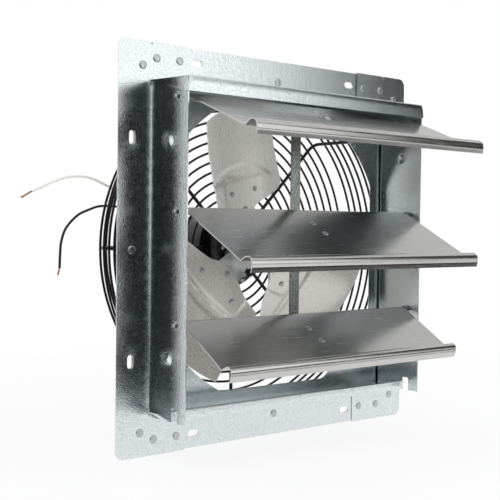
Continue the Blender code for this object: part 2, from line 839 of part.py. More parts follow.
def make_motor_inside():
    outer = motor_radius - motor_wall - gap
    inner = winding_inner + slot_copper_depth
    profile = [(inner, stator_back), (outer, stator_back), (outer, stator_front), (inner, stator_front)]
    stator = turned(profile, round_steps, closed=True)
    bolt_holes = [cylinder((x, stator_front - overrun, z), (x, stator_back + overrun, z), bolt_radius + gap)
                  for x, z in bolt_places()]
    cut(stator, join(bolt_holes))
    finish("stator_core", stator, core_steel)
    slot_copper = inner - gap
    start = stator_front - gap
    end = stator_back + gap
    profile = [(winding_inner, end + winding_length), (winding_outer, end + winding_length),
               (winding_outer, end),
               (slot_copper, end), (slot_copper, start), (winding_outer, start),
               (winding_outer, start - winding_length), (winding_inner, start - winding_length)]
    finish("stator_windings", turned(profile, round_steps, closed=True), winding_copper)
    front = motor_front - gap
    back = motor_back + gap
    profile = [(0, back + bolt_head_height), (bolt_head, back + bolt_head_height), (bolt_head, back),
               (bolt_radius, back), (bolt_radius, front), (bolt_head, front),
               (bolt_head, front - bolt_head_height),
               (0, front - bolt_head_height)]
    for index, (x, z) in enumerate(bolt_places()):
        finish(f"motor_through_bolt_{index + 1}", turned(profile, rivet_steps, (x, 0, z)), steel)


def make_grommet():
    flange_inner = motor_radius + gap
    flange_outer = flange_inner + grommet_flange_width
    tail = motor_radius - grommet_depth
    profile = [(0, flange_outer), (grommet_flange, flange_outer), (grommet_flange, flange_inner),
               (grommet_radius, flange_inner), (grommet_radius, tail), (0, tail)]
    made = turned(profile, hole_steps, (0, grommet_y, grommet_z), (-1, 0, 0))
    finish("lead_grommet", made, black_rubber)
    return flange_outer + gap


def smooth_route(points, step):
    # Points at even steps along a smooth curve that passes through the given ones.
    points = [Vector(point) for point in points]
    ends = [2 * points[0] - points[1]] + points + [2 * points[-1] - points[-2]]
    dense = []
    for index in range(1, len(ends) - 2):
        before, first, second, after = ends[index - 1:index + 3]
        for part in range(route_fine_steps):
            t = part / route_fine_steps
            dense.append(((2 * first) + (second - before) * t
                          + (2 * before - 5 * first + 4 * second - after) * t ** 2
                          + (3 * first - before - 3 * second + after) * t ** 3) / 2)
    dense.append(points[-1])
    lengths = [0.0]
    for first, second in zip(dense, dense[1:]):
        lengths.append(lengths[-1] + (second - first).length)
    count = max(2, ceil(lengths[-1] / step))
    wanted = [lengths[-1] * index / count for index in range(count + 1)]
    result = []
    for want in wanted:
        index = max(1, next((i for i, length in enumerate(lengths) if length >= want), len(lengths) - 1))
        low, high = lengths[index - 1], lengths[index]
        result.append(dense[index - 1].lerp(dense[index], (want - low) / (high - low)))
    return result, lengths[-1]


def make_lead(name, start, route, tip_end, look):
    step = lead_diameter * lead_step_in_diameters
    points, length = smooth_route([start] + route, step)
    finish(name, tube(points, lead_diameter, lead_bevel_steps), look)
    end = points[-1]
    direction = (Vector(tip_end) - end).normalized()
    bare_line = [end + direction * gap, Vector(tip_end)]
    finish(name + "_tip", tube(bare_line, copper_diameter, wire_bevel_steps), bare_copper)
    print(name, "length in metres:", round(length, 4))


def rake(radius):
    if radius <= rake_start:
        return 0.0
    return rake_depth * ((radius - rake_start) / rake_length) ** 2


def blade_point(angle, radius, across, pitch, depth=0.0):
    # radius runs along the blade's axis, across it along the pitched chord, and depth
    # behind the blade's front face.
    outward = Vector((cos(angle), 0, sin(angle)))
    around = Vector((-sin(angle), 0, cos(angle)))
    back = Vector((0, 1, 0))
    normal = back * cos(pitch) + around * sin(pitch)
    chord = around * cos(pitch) - back * sin(pitch)
    return outward * radius + chord * across + normal * depth + back * (fan_plane - rake(radius))


def grid_sheet(rows, thickness):
    # An open surface of point rows, thickened about its middle.
    shape = bmesh.new()
    grid = [[shape.verts.new(point) for point in row] for row in rows]
    for low, high in zip(grid, grid[1:]):
        for index in range(len(low) - 1):
            shape.faces.new((low[index], low[index + 1], high[index + 1], high[index]))
    mesh = bpy.data.meshes.new("surface")
    shape.to_mesh(mesh)
    shape.free()
    made = new_object("surface", mesh)
    thicken = made.modifiers.new("thickness", "SOLIDIFY")
    thicken.thickness = thickness
    thicken.offset = 0
    thicken.use_even_offset = True
    return bake(made)


def make_blade(number, angle, rotor):
    rows = []
    for row in range(blade_rows + 1):
        outward = row / blade_rows
        points = []
        for column in range(blade_columns + 1):
            share = column / blade_columns
            inner_across = inner_edge[0][0] + (inner_edge[-1][0] - inner_edge[0][0]) * share
            inner_radius = between(inner_edge, inner_across)
            tip_across = leading_edge[-1][1] + (trailing_edge[-1][1] - leading_edge[-1][1]) * share
            tip = sqrt(tip_radius ** 2 - (tip_across * cos(blade_pitch)) ** 2)
            radius = inner_radius + (tip - inner_radius) * outward
            low = between(leading_edge, radius)
            high = between(trailing_edge, radius)
            across = low + (high - low) * share
            points.append(blade_point(angle, radius, across, blade_pitch, blade_sheet / 2))
        rows.append(points)
    blade = grid_sheet(rows, blade_sheet)
    cut(blade, join(blade_rivet_holes(angle)))
    return finish(f"blade_{number}", blade, blade_aluminium, rotor)


def blade_rivet_places():
    return [(inner_rivet_radius, 0), (outer_rivet_radius, -outer_rivet_offset),
            (outer_rivet_radius, outer_rivet_offset)]


def blade_rivet_holes(angle):
    holes = []
    for radius, across in blade_rivet_places():
        start = blade_point(angle, radius, across, blade_pitch, -overrun)
        end = blade_point(angle, radius, across, blade_pitch, overrun + blade_sheet + spider_sheet)
        holes.append(cylinder(start, end, blade_rivet_shank + rivet_hole_clearance))
    return holes


def blade_rivets():
    made = []
    grip = blade_sheet + gap + spider_sheet
    for angle in blade_angles:
        for radius, across in blade_rivet_places():
            front = blade_point(angle, radius, across, blade_pitch)
            behind = blade_point(angle, radius, across, blade_pitch, grip)
            made.append(rivet(front, behind - front, grip, blade_rivet_shank, blade_rivet_head,
                              blade_rivet_head_height, blade_rivet_head * head_dome_share))
    return made


def arm_pitch(radius):
    share = min(1.0, max(0.0, (radius - twist_start) / (twist_end - twist_start)))
    return blade_pitch * share


def make_arm(angle):
    rows = []
    for radius, half_width in arm_outline:
        points = []
        for column in range(arm_columns + 1):
            across = half_width * (2 * column / arm_columns - 1)
            depth = spider_front + spider_sheet / 2
            points.append(blade_point(angle, radius, across, arm_pitch(radius), depth))
        rows.append(points)
    return grid_sheet(rows, spider_sheet)


def make_spider(rotor):
    # The spider holds the blades' rivets, set tight in its arms, as one piece.
    front = fan_plane + spider_front - spider_disc_extra
    back = front + spider_sheet + 2 * spider_disc_extra
    bore = shaft_radius + gap
    profile = [(bore, back + hub_length), (hub_radius, back + hub_length), (hub_radius, back),
               (spider_disc_radius, back), (spider_disc_radius, front), (bore, front)]
    spider = turned(profile, round_steps, closed=True)
    for angle in blade_angles:
        unite(spider, make_arm(angle))
    unite(spider, join(blade_rivets()))
    screw_depth = back + hub_length / 2
    screw_end = hub_radius + set_screw_proud
    cut(spider, cylinder((0, screw_depth, 0), (hub_radius + overrun, screw_depth, 0),
                         set_screw_radius + rivet_hole_clearance))
    finish("fan_spider", spider, galvanised, rotor)
    screw = cylinder((shaft_radius + gap, screw_depth, 0), (screw_end, screw_depth, 0), set_screw_radius,
                     rivet_steps)
    finish("hub_set_screw", screw, steel, rotor)


def make_shaft_and_core(rotor):
    start = fan_plane + spider_front - shaft_front_proud
    end = motor_back - bell_wall - bearing_seat_depth - gap
    finish("motor_shaft", cylinder((0, start, 0), (0, end, 0), shaft_radius, round_steps), steel, rotor)
    core_front = stator_front - rotor_overhang
    core_back = stator_back + rotor_overhang
    bore = shaft_radius + gap
    profile = [(bore, core_back), (rotor_radius, core_back), (rotor_radius, core_front), (bore, core_front)]
    finish("rotor_core", turned(profile, round_steps, closed=True), core_steel, rotor)


def shutter_profile(which):
    # (distance along the sheet, height over it) through the middle of the metal: the
    # curl round the rod, the flat, and the rolled hem.
    start = curl_end_angle
    curl = arc((0, 0), curl_middle, start, pi / 2 - 2 * pi, curl_steps)
    flat = shutter_flats[which]
    reach = hem_reaches[which]
    hem = [(flat + reach * along, curl_middle + hem_rise * rise) for along, rise in hem_shares]
    return curl + [(flat, curl_middle)] + hem


def bracket_rivet_cutter():
    holes = []
    for along in bracket_rivets:
        low = (bracket_rivet_x, -along, bracket_top - bracket_sheet - overrun)
        high = (bracket_rivet_x, -along, curl_outer + overrun)
        holes.append(cylinder(low, high, rivet_hole, rivet_steps))
    return join(holes)


def make_shutter(which, pivot):
    rows = [[(x, -along, height) for x in (-shutter_half_length, shutter_half_length)]
            for along, height in shutter_profile(which)]
    sheet_piece = grid_sheet(rows, shutter_sheet)
    cut(sheet_piece, bracket_rivet_cutter())
    finish(f"{which}_shutter", sheet_piece, aluminium, pivot)
    end = box_half_width + gap + bushing_head_height + rod_end_proud
    rod = cylinder((-end, 0, 0), (end, 0, 0), rod_radius, hole_steps)
    finish(f"{which}_shutter_rod", rod, bright_zinc, pivot)


def pin_in_bracket(which):
    # The pin's place in the shutter's own frame, as (along the sheet, over it).
    angle = shutter_angles[which]
    back = pin_back * cos(angle) - pin_below * sin(angle)
    up = -pin_back * sin(angle) - pin_below * cos(angle)
    return -back, up


def make_bracket(which, pivot):
    # The bracket holds its two rivets, set tight in it, as one piece.
    pin = pin_in_bracket(which)
    round_curl = curl_outer + bracket_curl_clearance
    outline = [(bracket_front, bracket_top), (bracket_back, bracket_top)]
    outline += arc((0, 0), round_curl, bracket_scoop_start, bracket_scoop_end, arc_steps)
    outline += arc(pin, bracket_boss, bracket_boss_start, bracket_boss_end, arc_steps)
    outline += [(bracket_waist, bracket_top - bracket_waist_depth),
                (bracket_front, bracket_top - bracket_front_depth)]
    outline = [(-along, up) for along, up in outline]
    hole = circle((-pin[0], pin[1]), pin_radius + pin_clearance)
    web = plate([outline, hole], bracket_sheet, side_plane(bracket_left, bracket_left + bracket_sheet))
    flange = box((bracket_left + bite, bite - bracket_front, bracket_top - bracket_sheet),
                 (bracket_left + bracket_width, -bracket_flange_back, bracket_top - bite))
    unite(web, flange)
    grip = curl_outer - bracket_top + bracket_sheet
    unite(web, join([rivet((bracket_rivet_x, -along, curl_outer), (0, 0, -1), grip)
                     for along in bracket_rivets]))
    finish(f"{which}_link_bracket", web, bright_zinc, pivot)


def make_tie_bar(top_pin):
    # Lengths are measured from the top pin.
    top = pivot_heights["top"]
    drops = {which: height - top for which, height in pivot_heights.items()}
    front = bar_front_from_pivot - pin_back
    bar = box((bar_left, front, min(drops.values()) - bar_end),
              (bar_left + bar_width, front + bar_thickness, bar_end))
    ears = []
    holes = []
    ear_right = bar_left + bar_thickness
    for which, drop in drops.items():
        ears.append(box((bar_left + bite, front + bite, drop - ear_half_height),
                        (ear_right, ear_margin, drop + ear_half_height)))
        holes.append(cylinder((bar_left - overrun, 0, drop), (ear_right + overrun, 0, drop),
                              pin_radius + gap))
        head = ear_right + gap
        end = bracket_left - gap
        profile = [(0, head + pin_head_height), (pin_head, head + pin_head_height), (pin_head, head),
                   (pin_radius, head), (pin_radius, end), (pin_head, end), (pin_head, end - pin_head_height),
                   (0, end - pin_head_height)]
        pin = turned(profile, hole_steps, (0, 0, drop), (1, 0, 0))
        finish(f"tie_bar_pin_{which}", pin, bright_zinc, top_pin)
    unite(bar, join(ears))
    cut(bar, join(holes))
    finish("tie_bar", bar, galvanised, top_pin)


make_side_piece("left_side_piece", -1)
make_side_piece("right_side_piece", 1)
make_wall_piece("top_piece", 1, box_top, box_half_width + gap, top_wall_front, top_lip_drop)
make_wall_piece("bottom_piece", -1, box_bottom, wall_inner - gap, bottom_wall_front, bottom_lip_rise)
make_orifice_panel()
make_pivot_bushings()
make_guard()
make_guard_clips()
make_motor_mount()
make_motor_shell()
make_bell("motor_front_bell", motor_front, 1)
make_bell("motor_rear_bell", motor_back, -1)
bearing_inset = bell_wall + bearing_seat_depth + gap
make_bearing("front_bearing", motor_front + bearing_inset)
make_bearing("rear_bearing", motor_back - bearing_inset - bearing_width)
make_motor_inside()
lead_start = make_grommet()
make_lead("white_lead", (-lead_start, grommet_y, grommet_z + white_lead_offset), white_route, white_tip_end,
          white_plastic)
make_lead("black_lead", (-lead_start, grommet_y, grommet_z + black_lead_offset), black_route, black_tip_end,
          black_plastic)

fan_axis = empty("fan_axis", (0, 0, 0))
make_spider(fan_axis)
for index, blade_angle in enumerate(blade_angles):
    make_blade(index + 1, blade_angle, fan_axis)
make_shaft_and_core(fan_axis)

for which in pivot_heights:
    pivot_axis = empty(f"{which}_pivot", (0, -pivot_depth, pivot_heights[which]), shutter_angles[which])
    make_shutter(which, pivot_axis)
    make_bracket(which, pivot_axis)
tie_bar_axis = empty("tie_bar_pivot", (0, pin_back - pivot_depth, pivot_heights["top"] - pin_below))
make_tie_bar(tie_bar_axis)
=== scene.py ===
import bmesh
import bpy
import numpy as np
from mathutils import Matrix, Vector, geometry


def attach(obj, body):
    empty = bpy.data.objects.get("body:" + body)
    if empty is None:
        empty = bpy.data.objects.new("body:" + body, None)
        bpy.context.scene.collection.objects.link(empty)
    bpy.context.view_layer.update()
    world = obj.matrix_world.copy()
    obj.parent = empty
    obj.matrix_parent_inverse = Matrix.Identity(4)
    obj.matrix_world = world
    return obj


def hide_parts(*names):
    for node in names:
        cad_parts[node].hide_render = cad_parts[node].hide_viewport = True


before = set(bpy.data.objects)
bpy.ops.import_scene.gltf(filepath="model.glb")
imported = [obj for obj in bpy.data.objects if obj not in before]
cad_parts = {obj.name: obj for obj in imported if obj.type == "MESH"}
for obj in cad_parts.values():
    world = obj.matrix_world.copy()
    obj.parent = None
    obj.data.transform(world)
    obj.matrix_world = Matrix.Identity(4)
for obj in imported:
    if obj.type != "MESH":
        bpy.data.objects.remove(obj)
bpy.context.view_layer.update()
pi = np.pi
print("frame loaded:", len(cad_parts), "nodes")

# Where the photograph was taken from, worked out from the flange and the box: metres,
# degrees, and the lens in millimetres.
camera = {"place": (-0.7034, -0.8041, 0.0258), "yaw": 39.63, "pitch": -1.48, "roll": 0.68,
          "lens": 70.53, "sensor": 36.0, "clip": (0.05, 50)}


def addCamera(settings):
    # Look direction from yaw and pitch, then the image axes turned by the roll.
    yaw, pitch, roll = (np.radians(settings[key]) for key in ("yaw", "pitch", "roll"))
    look = Vector((np.cos(pitch) * np.sin(yaw), np.cos(pitch) * np.cos(yaw), np.sin(pitch)))
    level = Vector((np.cos(yaw), -np.sin(yaw), 0))
    rise = level.cross(look)
    right = level * np.cos(roll) + rise * np.sin(roll)
    up = rise * np.cos(roll) - level * np.sin(roll)
    data = bpy.data.cameras.new("camera")
    data.lens, data.sensor_width = settings["lens"], settings["sensor"]
    data.clip_start, data.clip_end = settings["clip"]
    eye = bpy.data.objects.new("camera", data)
    eye.matrix_world = Matrix.Translation(settings["place"]) @ Matrix((right, up, -look)).transposed().to_4x4()
    bpy.context.scene.collection.objects.link(eye)
    bpy.context.scene.camera = eye


addCamera(camera)


# Materials
def linear(hexColour):
    # sRGB hex to linear light: straight under 0.04045, a power of 2.4 above it.
    value = np.array([int(hexColour[start:start + 2], 16) for start in (1, 3, 5)]) / 255
    value = np.where(value <= 0.04045, value / 12.92, ((value + 0.055) / 1.055) ** 2.4)
    return (*value.tolist(), 1.0)


def addNode(tree, kind, inputs, stops=(), **settings):
    # One node. An input that is another node's output is linked, a hex colour is made
    # linear, the rest is set as it is; stops are a ramp's (position, hex or grey level).
    node = tree.nodes.new("ShaderNode" + kind)
    for key, value in settings.items():
        setattr(node, key, value)
    for key, value in inputs.items():
        if isinstance(value, bpy.types.NodeSocket):
            tree.links.new(value, node.inputs[key])
        else:
            node.inputs[key].default_value = linear(value) if isinstance(value, str) else value
    if stops:
        band = node.color_ramp.elements
        while len(band) < len(stops):
            band.new(0.5)
        for element, (position, colour) in zip(band, stops):
            element.position = position
            element.color = linear(colour) if isinstance(colour, str) else (colour, colour, colour, 1)
    return node


def newMaterial(name, shown, **values):
    # A Principled material; values go on the shader's own sockets.
    material = bpy.data.materials.new(name)
    material.use_nodes = True
    material.diffuse_color = linear(shown)
    tree = material.node_tree
    shader = tree.nodes["Principled BSDF"]
    for key, value in {"Base_Color": linear(shown), **values}.items():
        shader.inputs[key.replace("_", " ")].default_value = value
    return material, tree, shader, addNode(tree, "TexCoord", {}).outputs["Object"]


def feed(tree, shader, **sources):
    for key, source in sources.items():
        tree.links.new(source, shader.inputs[key.replace("_", " ")])


# Crystal width, its feathered edge and how far that edge wanders, the sheet's patches,
# its fine grain with the grain's height, and the clouds in its sheen. The grain is drawn
# about three times too coarse, so that it shows.
galvanised = {"spangle": 1.5, "feather": 0.6, "wander": 0.6, "patch": 26.0, "grain": 1.4, "height": 0.24,
              "cloud": 60.0}


def makeGalvanised(name, low, middle, high):
    # Hot-dip zinc: fine crystals, each with its own tone and sheen, under soft larger
    # clouds, so the sheet looks grainy close to and streaked from afar.
    g = galvanised
    material, tree, shader, place = newMaterial(name, middle, Metallic=1.0, Roughness=0.36)
    waves = {key: addNode(tree, "TexNoise", {"Vector": place, "Scale": 1000 / g[key], "Detail": detail,
                                             "Roughness": 0.55}).outputs
             for key, detail in (("feather", 2.0), ("patch", 3.0), ("grain", 2.0), ("cloud", 2.0))}
    ripple = addNode(tree, "VectorMath", {0: waves["feather"]["Color"], 1: (g["wander"] * 0.001,) * 3},
                     operation="MULTIPLY")
    bent = addNode(tree, "VectorMath", {0: place, 1: ripple.outputs[0]}, operation="ADD")
    crystals = addNode(tree, "TexVoronoi", {"Vector": bent.outputs[0], "Scale": 1000 / g["spangle"]})
    tones = addNode(tree, "SeparateColor", {"Color": crystals.outputs["Color"]}).outputs
    spangle = addNode(tree, "ValToRGB", {"Fac": tones[0]}, [(0.0, low), (0.45, middle), (1.0, high)]).outputs[0]
    patches = addNode(tree, "ValToRGB", {"Fac": waves["patch"][0]}, [(0.35, 0.25), (0.68, 0.65)]).outputs[0]
    speck = addNode(tree, "ValToRGB", {"Fac": waves["grain"][0]}, [(0.30, 0.96), (0.70, 1.0)]).outputs[0]
    facets = addNode(tree, "ValToRGB", {"Fac": tones[1]}, [(0.0, 0.08), (1.0, 0.20)]).outputs[0]
    dull = addNode(tree, "ValToRGB", {"Fac": waves["cloud"][0]}, [(0.35, 0.0), (0.65, 0.5)]).outputs[0]
    toned = addNode(tree, "Mix", {0: patches, 6: spangle, 7: middle}, data_type="RGBA").outputs[2]
    colour = addNode(tree, "Mix", {0: 1.0, 6: toned, 7: speck}, data_type="RGBA", blend_type="MULTIPLY")
    sheen = addNode(tree, "Mix", {0: dull, 6: facets, 7: "#666666"}, data_type="RGBA")
    relief = addNode(tree, "Bump", {"Height": waves["grain"][0], "Strength": 0.8, "Distance": g["height"] * 0.001})
    feed(tree, shader, Base_Color=colour.outputs[2], Roughness=sheen.outputs[2], Normal=relief.outputs[0])
    return material


rolled = {"line": 1.1111, "cloud": 71.43, "height": 0.1}  # rolling line, patch, line's height


def makeRolledSheet(name, low, high, along, roughness, metal, relief):
    # Mill-finish aluminium: fine rolling lines along the sheet over soft cloudy patches, so
    # light smears across it.
    material, tree, shader, place = newMaterial(name, high, Metallic=metal, Roughness=roughness)
    drawn = addNode(tree, "Mapping", {"Vector": place, "Scale": along}).outputs[0]
    lines = addNode(tree, "TexNoise", {"Vector": drawn, "Scale": 1000 / rolled["line"], "Detail": 3.0,
                                       "Roughness": 0.7}).outputs[0]
    clouds = addNode(tree, "TexNoise", {"Vector": place, "Scale": 1000 / rolled["cloud"], "Detail": 2.0,
                                        "Roughness": 0.55}).outputs[0]
    share = addNode(tree, "ValToRGB", {"Fac": clouds}, [(0.3, 0.35), (0.7, 0.75)]).outputs[0]
    toned = addNode(tree, "ValToRGB", {"Fac": lines}, [(0.25, low), (0.75, high)]).outputs[0]
    sheen = addNode(tree, "ValToRGB", {"Fac": lines}, [(0.2, roughness - 0.07), (0.8, roughness + 0.08)])
    colour = addNode(tree, "Mix", {0: share, 6: toned, 7: high}, data_type="RGBA")
    bump = addNode(tree, "Bump", {"Height": lines, "Strength": relief, "Distance": rolled["height"] * 0.001})
    feed(tree, shader, Base_Color=colour.outputs[2], Roughness=sheen.outputs[0], Normal=bump.outputs[0])
    return material


def makeGlossBlack(name, colour, roughness, peel):
    # Baked black enamel: deep gloss with a faint orange peel, a touch of dust in the tone.
    material, tree, shader, place = newMaterial(name, colour, Roughness=roughness, Specular_IOR_Level=0.3)
    skin = addNode(tree, "TexNoise", {"Vector": place, "Scale": 1000 / peel, "Detail": 2.0,
                                      "Roughness": 0.55}).outputs[0]
    toned = addNode(tree, "ValToRGB", {"Fac": skin}, [(0.3, colour), (0.75, "#121315")])
    sheen = addNode(tree, "ValToRGB", {"Fac": skin}, [(0.2, roughness), (0.8, roughness + 0.10)])
    relief = addNode(tree, "Bump", {"Height": skin, "Strength": 0.10, "Distance": 0.0003})
    feed(tree, shader, Base_Color=toned.outputs[0], Roughness=sheen.outputs[0], Normal=relief.outputs[0])
    return material


def makePlatedMetal(name, low, high, roughness, mark=1.4286):
    # Plated or ground small metalwork: an even bright metal with faint handling marks.
    material, tree, shader, place = newMaterial(name, high, Metallic=1.0, Roughness=roughness)
    marks = addNode(tree, "TexNoise", {"Vector": place, "Scale": 1000 / mark, "Detail": 3.0,
                                       "Roughness": 0.55}).outputs[0]
    toned = addNode(tree, "ValToRGB", {"Fac": marks}, [(0.3, low), (0.7, high)])
    sheen = addNode(tree, "ValToRGB", {"Fac": marks}, [(0.2, roughness + 0.10), (0.8, roughness - 0.05)])
    feed(tree, shader, Base_Color=toned.outputs[0], Roughness=sheen.outputs[0])
    return material


def makePlastic(name, low, high, roughness, texture=2.2222):
    # Extruded PVC or moulded rubber: nearly even, with a faint drawn texture.
    material, tree, shader, place = newMaterial(name, high, Roughness=roughness)
    skin = addNode(tree, "TexNoise", {"Vector": place, "Scale": 1000 / texture, "Detail": 3.0,
                                      "Roughness": 0.55}).outputs[0]
    toned = addNode(tree, "ValToRGB", {"Fac": skin}, [(0.3, low), (0.7, high)])
    relief = addNode(tree, "Bump", {"Height": skin, "Strength": 0.15, "Distance": 0.0002})
    feed(tree, shader, Base_Color=toned.outputs[0], Normal=relief.outputs[0])
    return material


def makeBanded(name, low, high, across, metal, roughness, band=6.25):
    # Stacked laminations or wound wire: close even bands across one axis.
    material, tree, shader, place = newMaterial(name, high, Metallic=metal, Roughness=roughness)
    bands = addNode(tree, "TexWave", {"Vector": place, "Scale": 1000 / band, "Distortion": 0.6, "Detail": 1.0},
                    bands_direction=across).outputs["Fac"]
    toned = addNode(tree, "ValToRGB", {"Fac": bands}, [(0.2, low), (0.8, high)])
    relief = addNode(tree, "Bump", {"Height": bands, "Strength": 0.4, "Distance": 0.0003})
    feed(tree, shader, Base_Color=toned.outputs[0], Normal=relief.outputs[0])
    return material


# The link bar's sheet has aged, and the pressed blades are duller than the shutters. The
# last number of the blacks, and of clear zinc, is the pattern's width in mm.
finishes = {
    "galvanised": makeGalvanised("galvanisedSteel", "#d0d8da", "#dfe6e8", "#ecf1f2"),
    "barSteel": makeGalvanised("linkBarSteel", "#6c716e", "#868b86", "#a5a9a4"),
    "shutterSheet": makeRolledSheet("millAluminium", "#bfbfbd", "#cdcdcb", (0.03, 1, 1), 0.22, 1.0, 0.05),
    "bladeSheet": makeRolledSheet("rolledAluminiumBlade", "#dcd9d2", "#e8e5de", (1, 1, 0.12), 0.30, 0.72, 0.03),
    "guardBlack": makeGlossBlack("blackGuardEnamel", "#070708", 0.24, 2.0),
    "motorBlack": makeGlossBlack("blackMotorEnamel", "#060607", 0.30, 3.125),
    "zincPlate": makePlatedMetal("brightZincPlate", "#a7abad", "#cfd2d4", 0.26),
    "clearZinc": makePlatedMetal("clearZincPlate", "#ccd4d3", "#dbe1e0", 0.36, 11.111),
    "groundSteel": makePlatedMetal("groundSteel", "#8d8f92", "#b9bbbd", 0.26),
    "bareCopper": makePlatedMetal("bareCopper", "#a9623c", "#d58a5c", 0.24),
    "laminations": makeBanded("statorLaminations", "#3a3b3d", "#6d6f72", "Y", 1.0, 0.45),
    "windings": makeBanded("enamelledWinding", "#6a2f14", "#b8642e", "X", 0.4, 0.35),
    "rubber": makePlastic("mouldedRubber", "#121213", "#1c1c1d", 0.62),
    "whitePvc": makePlastic("whitePvc", "#d9d8d2", "#eeeeea", 0.36),
    "blackPvc": makePlastic("blackPvc", "#0d0d0e", "#19191a", 0.34),
}
print("materials:", len(finishes))


# Shapes: each returns (points as an N by 3 array, list of faces), in millimetres
def gridFaces(rows, columns, closedRows=False, closedColumns=False):
    # The four corner numbers of every cell of a row-by-column grid, in turn round it.
    row = np.arange(rows if closedRows else rows - 1)[:, None]
    column = np.arange(columns if closedColumns else columns - 1)[None, :]
    below, beside = (row + 1) % rows, (column + 1) % columns
    corners = [row * columns + column, row * columns + beside, below * columns + beside, below * columns + column]
    return np.stack([corner.ravel() for corner in corners], axis=1).tolist()


def tubeFaces(rows, columns):
    # A grid closed round its columns, with a face over each end.
    last = (rows - 1) * columns
    return gridFaces(rows, columns, False, True) + [list(range(columns))[::-1], list(range(last, last + columns))]


def circleLine(radius, steps, start=0.0, end=2 * pi, closed=True):
    # Points at radius times the cosine and sine of evenly spaced angles.
    angles = np.linspace(start, end, steps, endpoint=not closed)
    return radius * joined(np.cos(angles), np.sin(angles))


def sweep(path, section, sideways, closed=False):
    # Point = path point + first offset across the path + second offset along sideways.
    path, section = np.asarray(path, float), np.asarray(section, float)
    if closed:
        tangent = np.roll(path, -1, 0) - np.roll(path, 1, 0)
    else:
        tangent = np.gradient(path, axis=0)
    sideways = np.broadcast_to(np.asarray(sideways, float), path.shape)
    across = np.cross(tangent, sideways)
    across /= np.linalg.norm(across, axis=1, keepdims=True)
    other = np.cross(across, tangent)
    other /= np.linalg.norm(other, axis=1, keepdims=True)
    points = path[:, None] + across[:, None] * section[None, :, :1] + other[:, None] * section[None, :, 1:]
    rows, columns = len(path), len(section)
    return points.reshape(-1, 3), gridFaces(rows, columns, True, True) if closed else tubeFaces(rows, columns)


def turned(profile, steps, origin=(0, 0, 0), axis=(0, 1, 0), closed=False):
    # Each (radius, distance) of the profile goes round the axis: origin + distance along
    # the axis + radius times a unit vector turning round it.
    profile = np.asarray(profile, float)
    axis = Vector(axis).normalized()
    first = Vector((1, 0, 0)) if abs(axis.y) > 0.99 else axis.orthogonal().normalized()
    second = axis.cross(first)
    angles = np.linspace(0, 2 * pi, steps, endpoint=False)
    outward = np.cos(angles)[:, None] * np.array(first) + np.sin(angles)[:, None] * np.array(second)
    points = (np.array(origin, float) + profile[None, :, 1:] * np.array(axis)
              + profile[None, :, :1] * outward[:, None])
    return points.reshape(-1, 3), gridFaces(steps, len(profile), True, closed)


def rounded(corners, radii, steps=6):
    # A polyline whose corners become arcs: each arc starts and ends where a circle of
    # that radius touches the two straight sides.
    corners = np.asarray(corners, float)
    radii = np.broadcast_to(radii, len(corners))
    line = []
    for index, (corner, radius) in enumerate(zip(corners, radii)):
        before, after = corners[index - 1] - corner, corners[(index + 1) % len(corners)] - corner
        before, after = before / np.linalg.norm(before), after / np.linalg.norm(after)
        half = np.arccos(np.clip(before @ after, -1, 1)) / 2
        if radius <= 0 or abs(half - pi / 2) < 0.02:
            line.append(corner[None])
            continue
        centre = corner + (before + after) / np.linalg.norm(before + after) * radius / np.sin(half)
        start, end = corner + before * radius / np.tan(half), corner + after * radius / np.tan(half)
        share = np.linspace(0, 1, steps + 1)[:, None]
        chord = start * (1 - share) + end * share - centre
        line.append(centre + chord / np.linalg.norm(chord, axis=1, keepdims=True) * radius)
    return np.concatenate(line)


def insideLoops(points, loops):
    # Even-odd rule: a point is inside where a ray towards +X crosses the loops an odd
    # number of times.
    inside = np.zeros(len(points), bool)
    for loop in loops:
        start, end = loop, np.roll(loop, -1, 0)
        y = points[:, 1:2]
        straddles = (start[None, :, 1] > y) != (end[None, :, 1] > y)
        slope = (end[:, 0] - start[:, 0]) / np.where(end[:, 1] == start[:, 1], 1e-12, end[:, 1] - start[:, 1])
        crossing = start[None, :, 0] + (y - start[None, :, 1]) * slope[None]
        inside ^= (straddles & (points[:, :1] < crossing)).sum(1) % 2 == 1
    return inside


def cutSheet(loops, place, spacing=None, extra=()):
    # A flat blank, cut along the loops (edge first, then holes) and meshed with inner
    # points at the spacing, whose points place() then bends into the real surface.
    loops = [np.asarray(loop, float) for loop in loops]
    outline = np.concatenate(loops)
    edges, count = [], 0
    for loop in loops:
        edges += [(count + index, count + (index + 1) % len(loop)) for index in range(len(loop))]
        count += len(loop)
    inner = [np.asarray(each, float) for each in extra]
    if spacing:
        low, high = loops[0].min(0), loops[0].max(0)
        across, up = np.meshgrid(np.arange(low[0] + spacing / 2, high[0], spacing),
                                 np.arange(low[1] + spacing / 2, high[1], spacing))
        across = across + (np.arange(across.shape[0]) % 2)[:, None] * spacing / 2
        grid = joined(across.ravel(), up.ravel())
        if inner:
            rows = np.concatenate(inner)
            grid = grid[np.linalg.norm(grid[:, None] - rows[None], axis=2).min(1) > spacing * 0.6]
        inner.append(grid)
    clear = spacing * 0.45 if spacing else 0.3
    points = [outline]
    for cloud in inner:
        cloud = cloud[insideLoops(cloud, loops)]
        points.append(cloud[np.linalg.norm(cloud[:, None] - outline[None], axis=2).min(1) > clear])
    flat = np.concatenate(points)
    made = geometry.delaunay_2d_cdt([Vector(point) for point in flat.tolist()], edges, [], 1, 1e-5)
    flat = np.array([list(point) for point in made[0]])
    faces = np.array([list(face) for face in made[2]])
    kept = insideLoops(flat[faces].mean(1), loops)
    return np.asarray(place(flat), float), faces[kept].tolist()


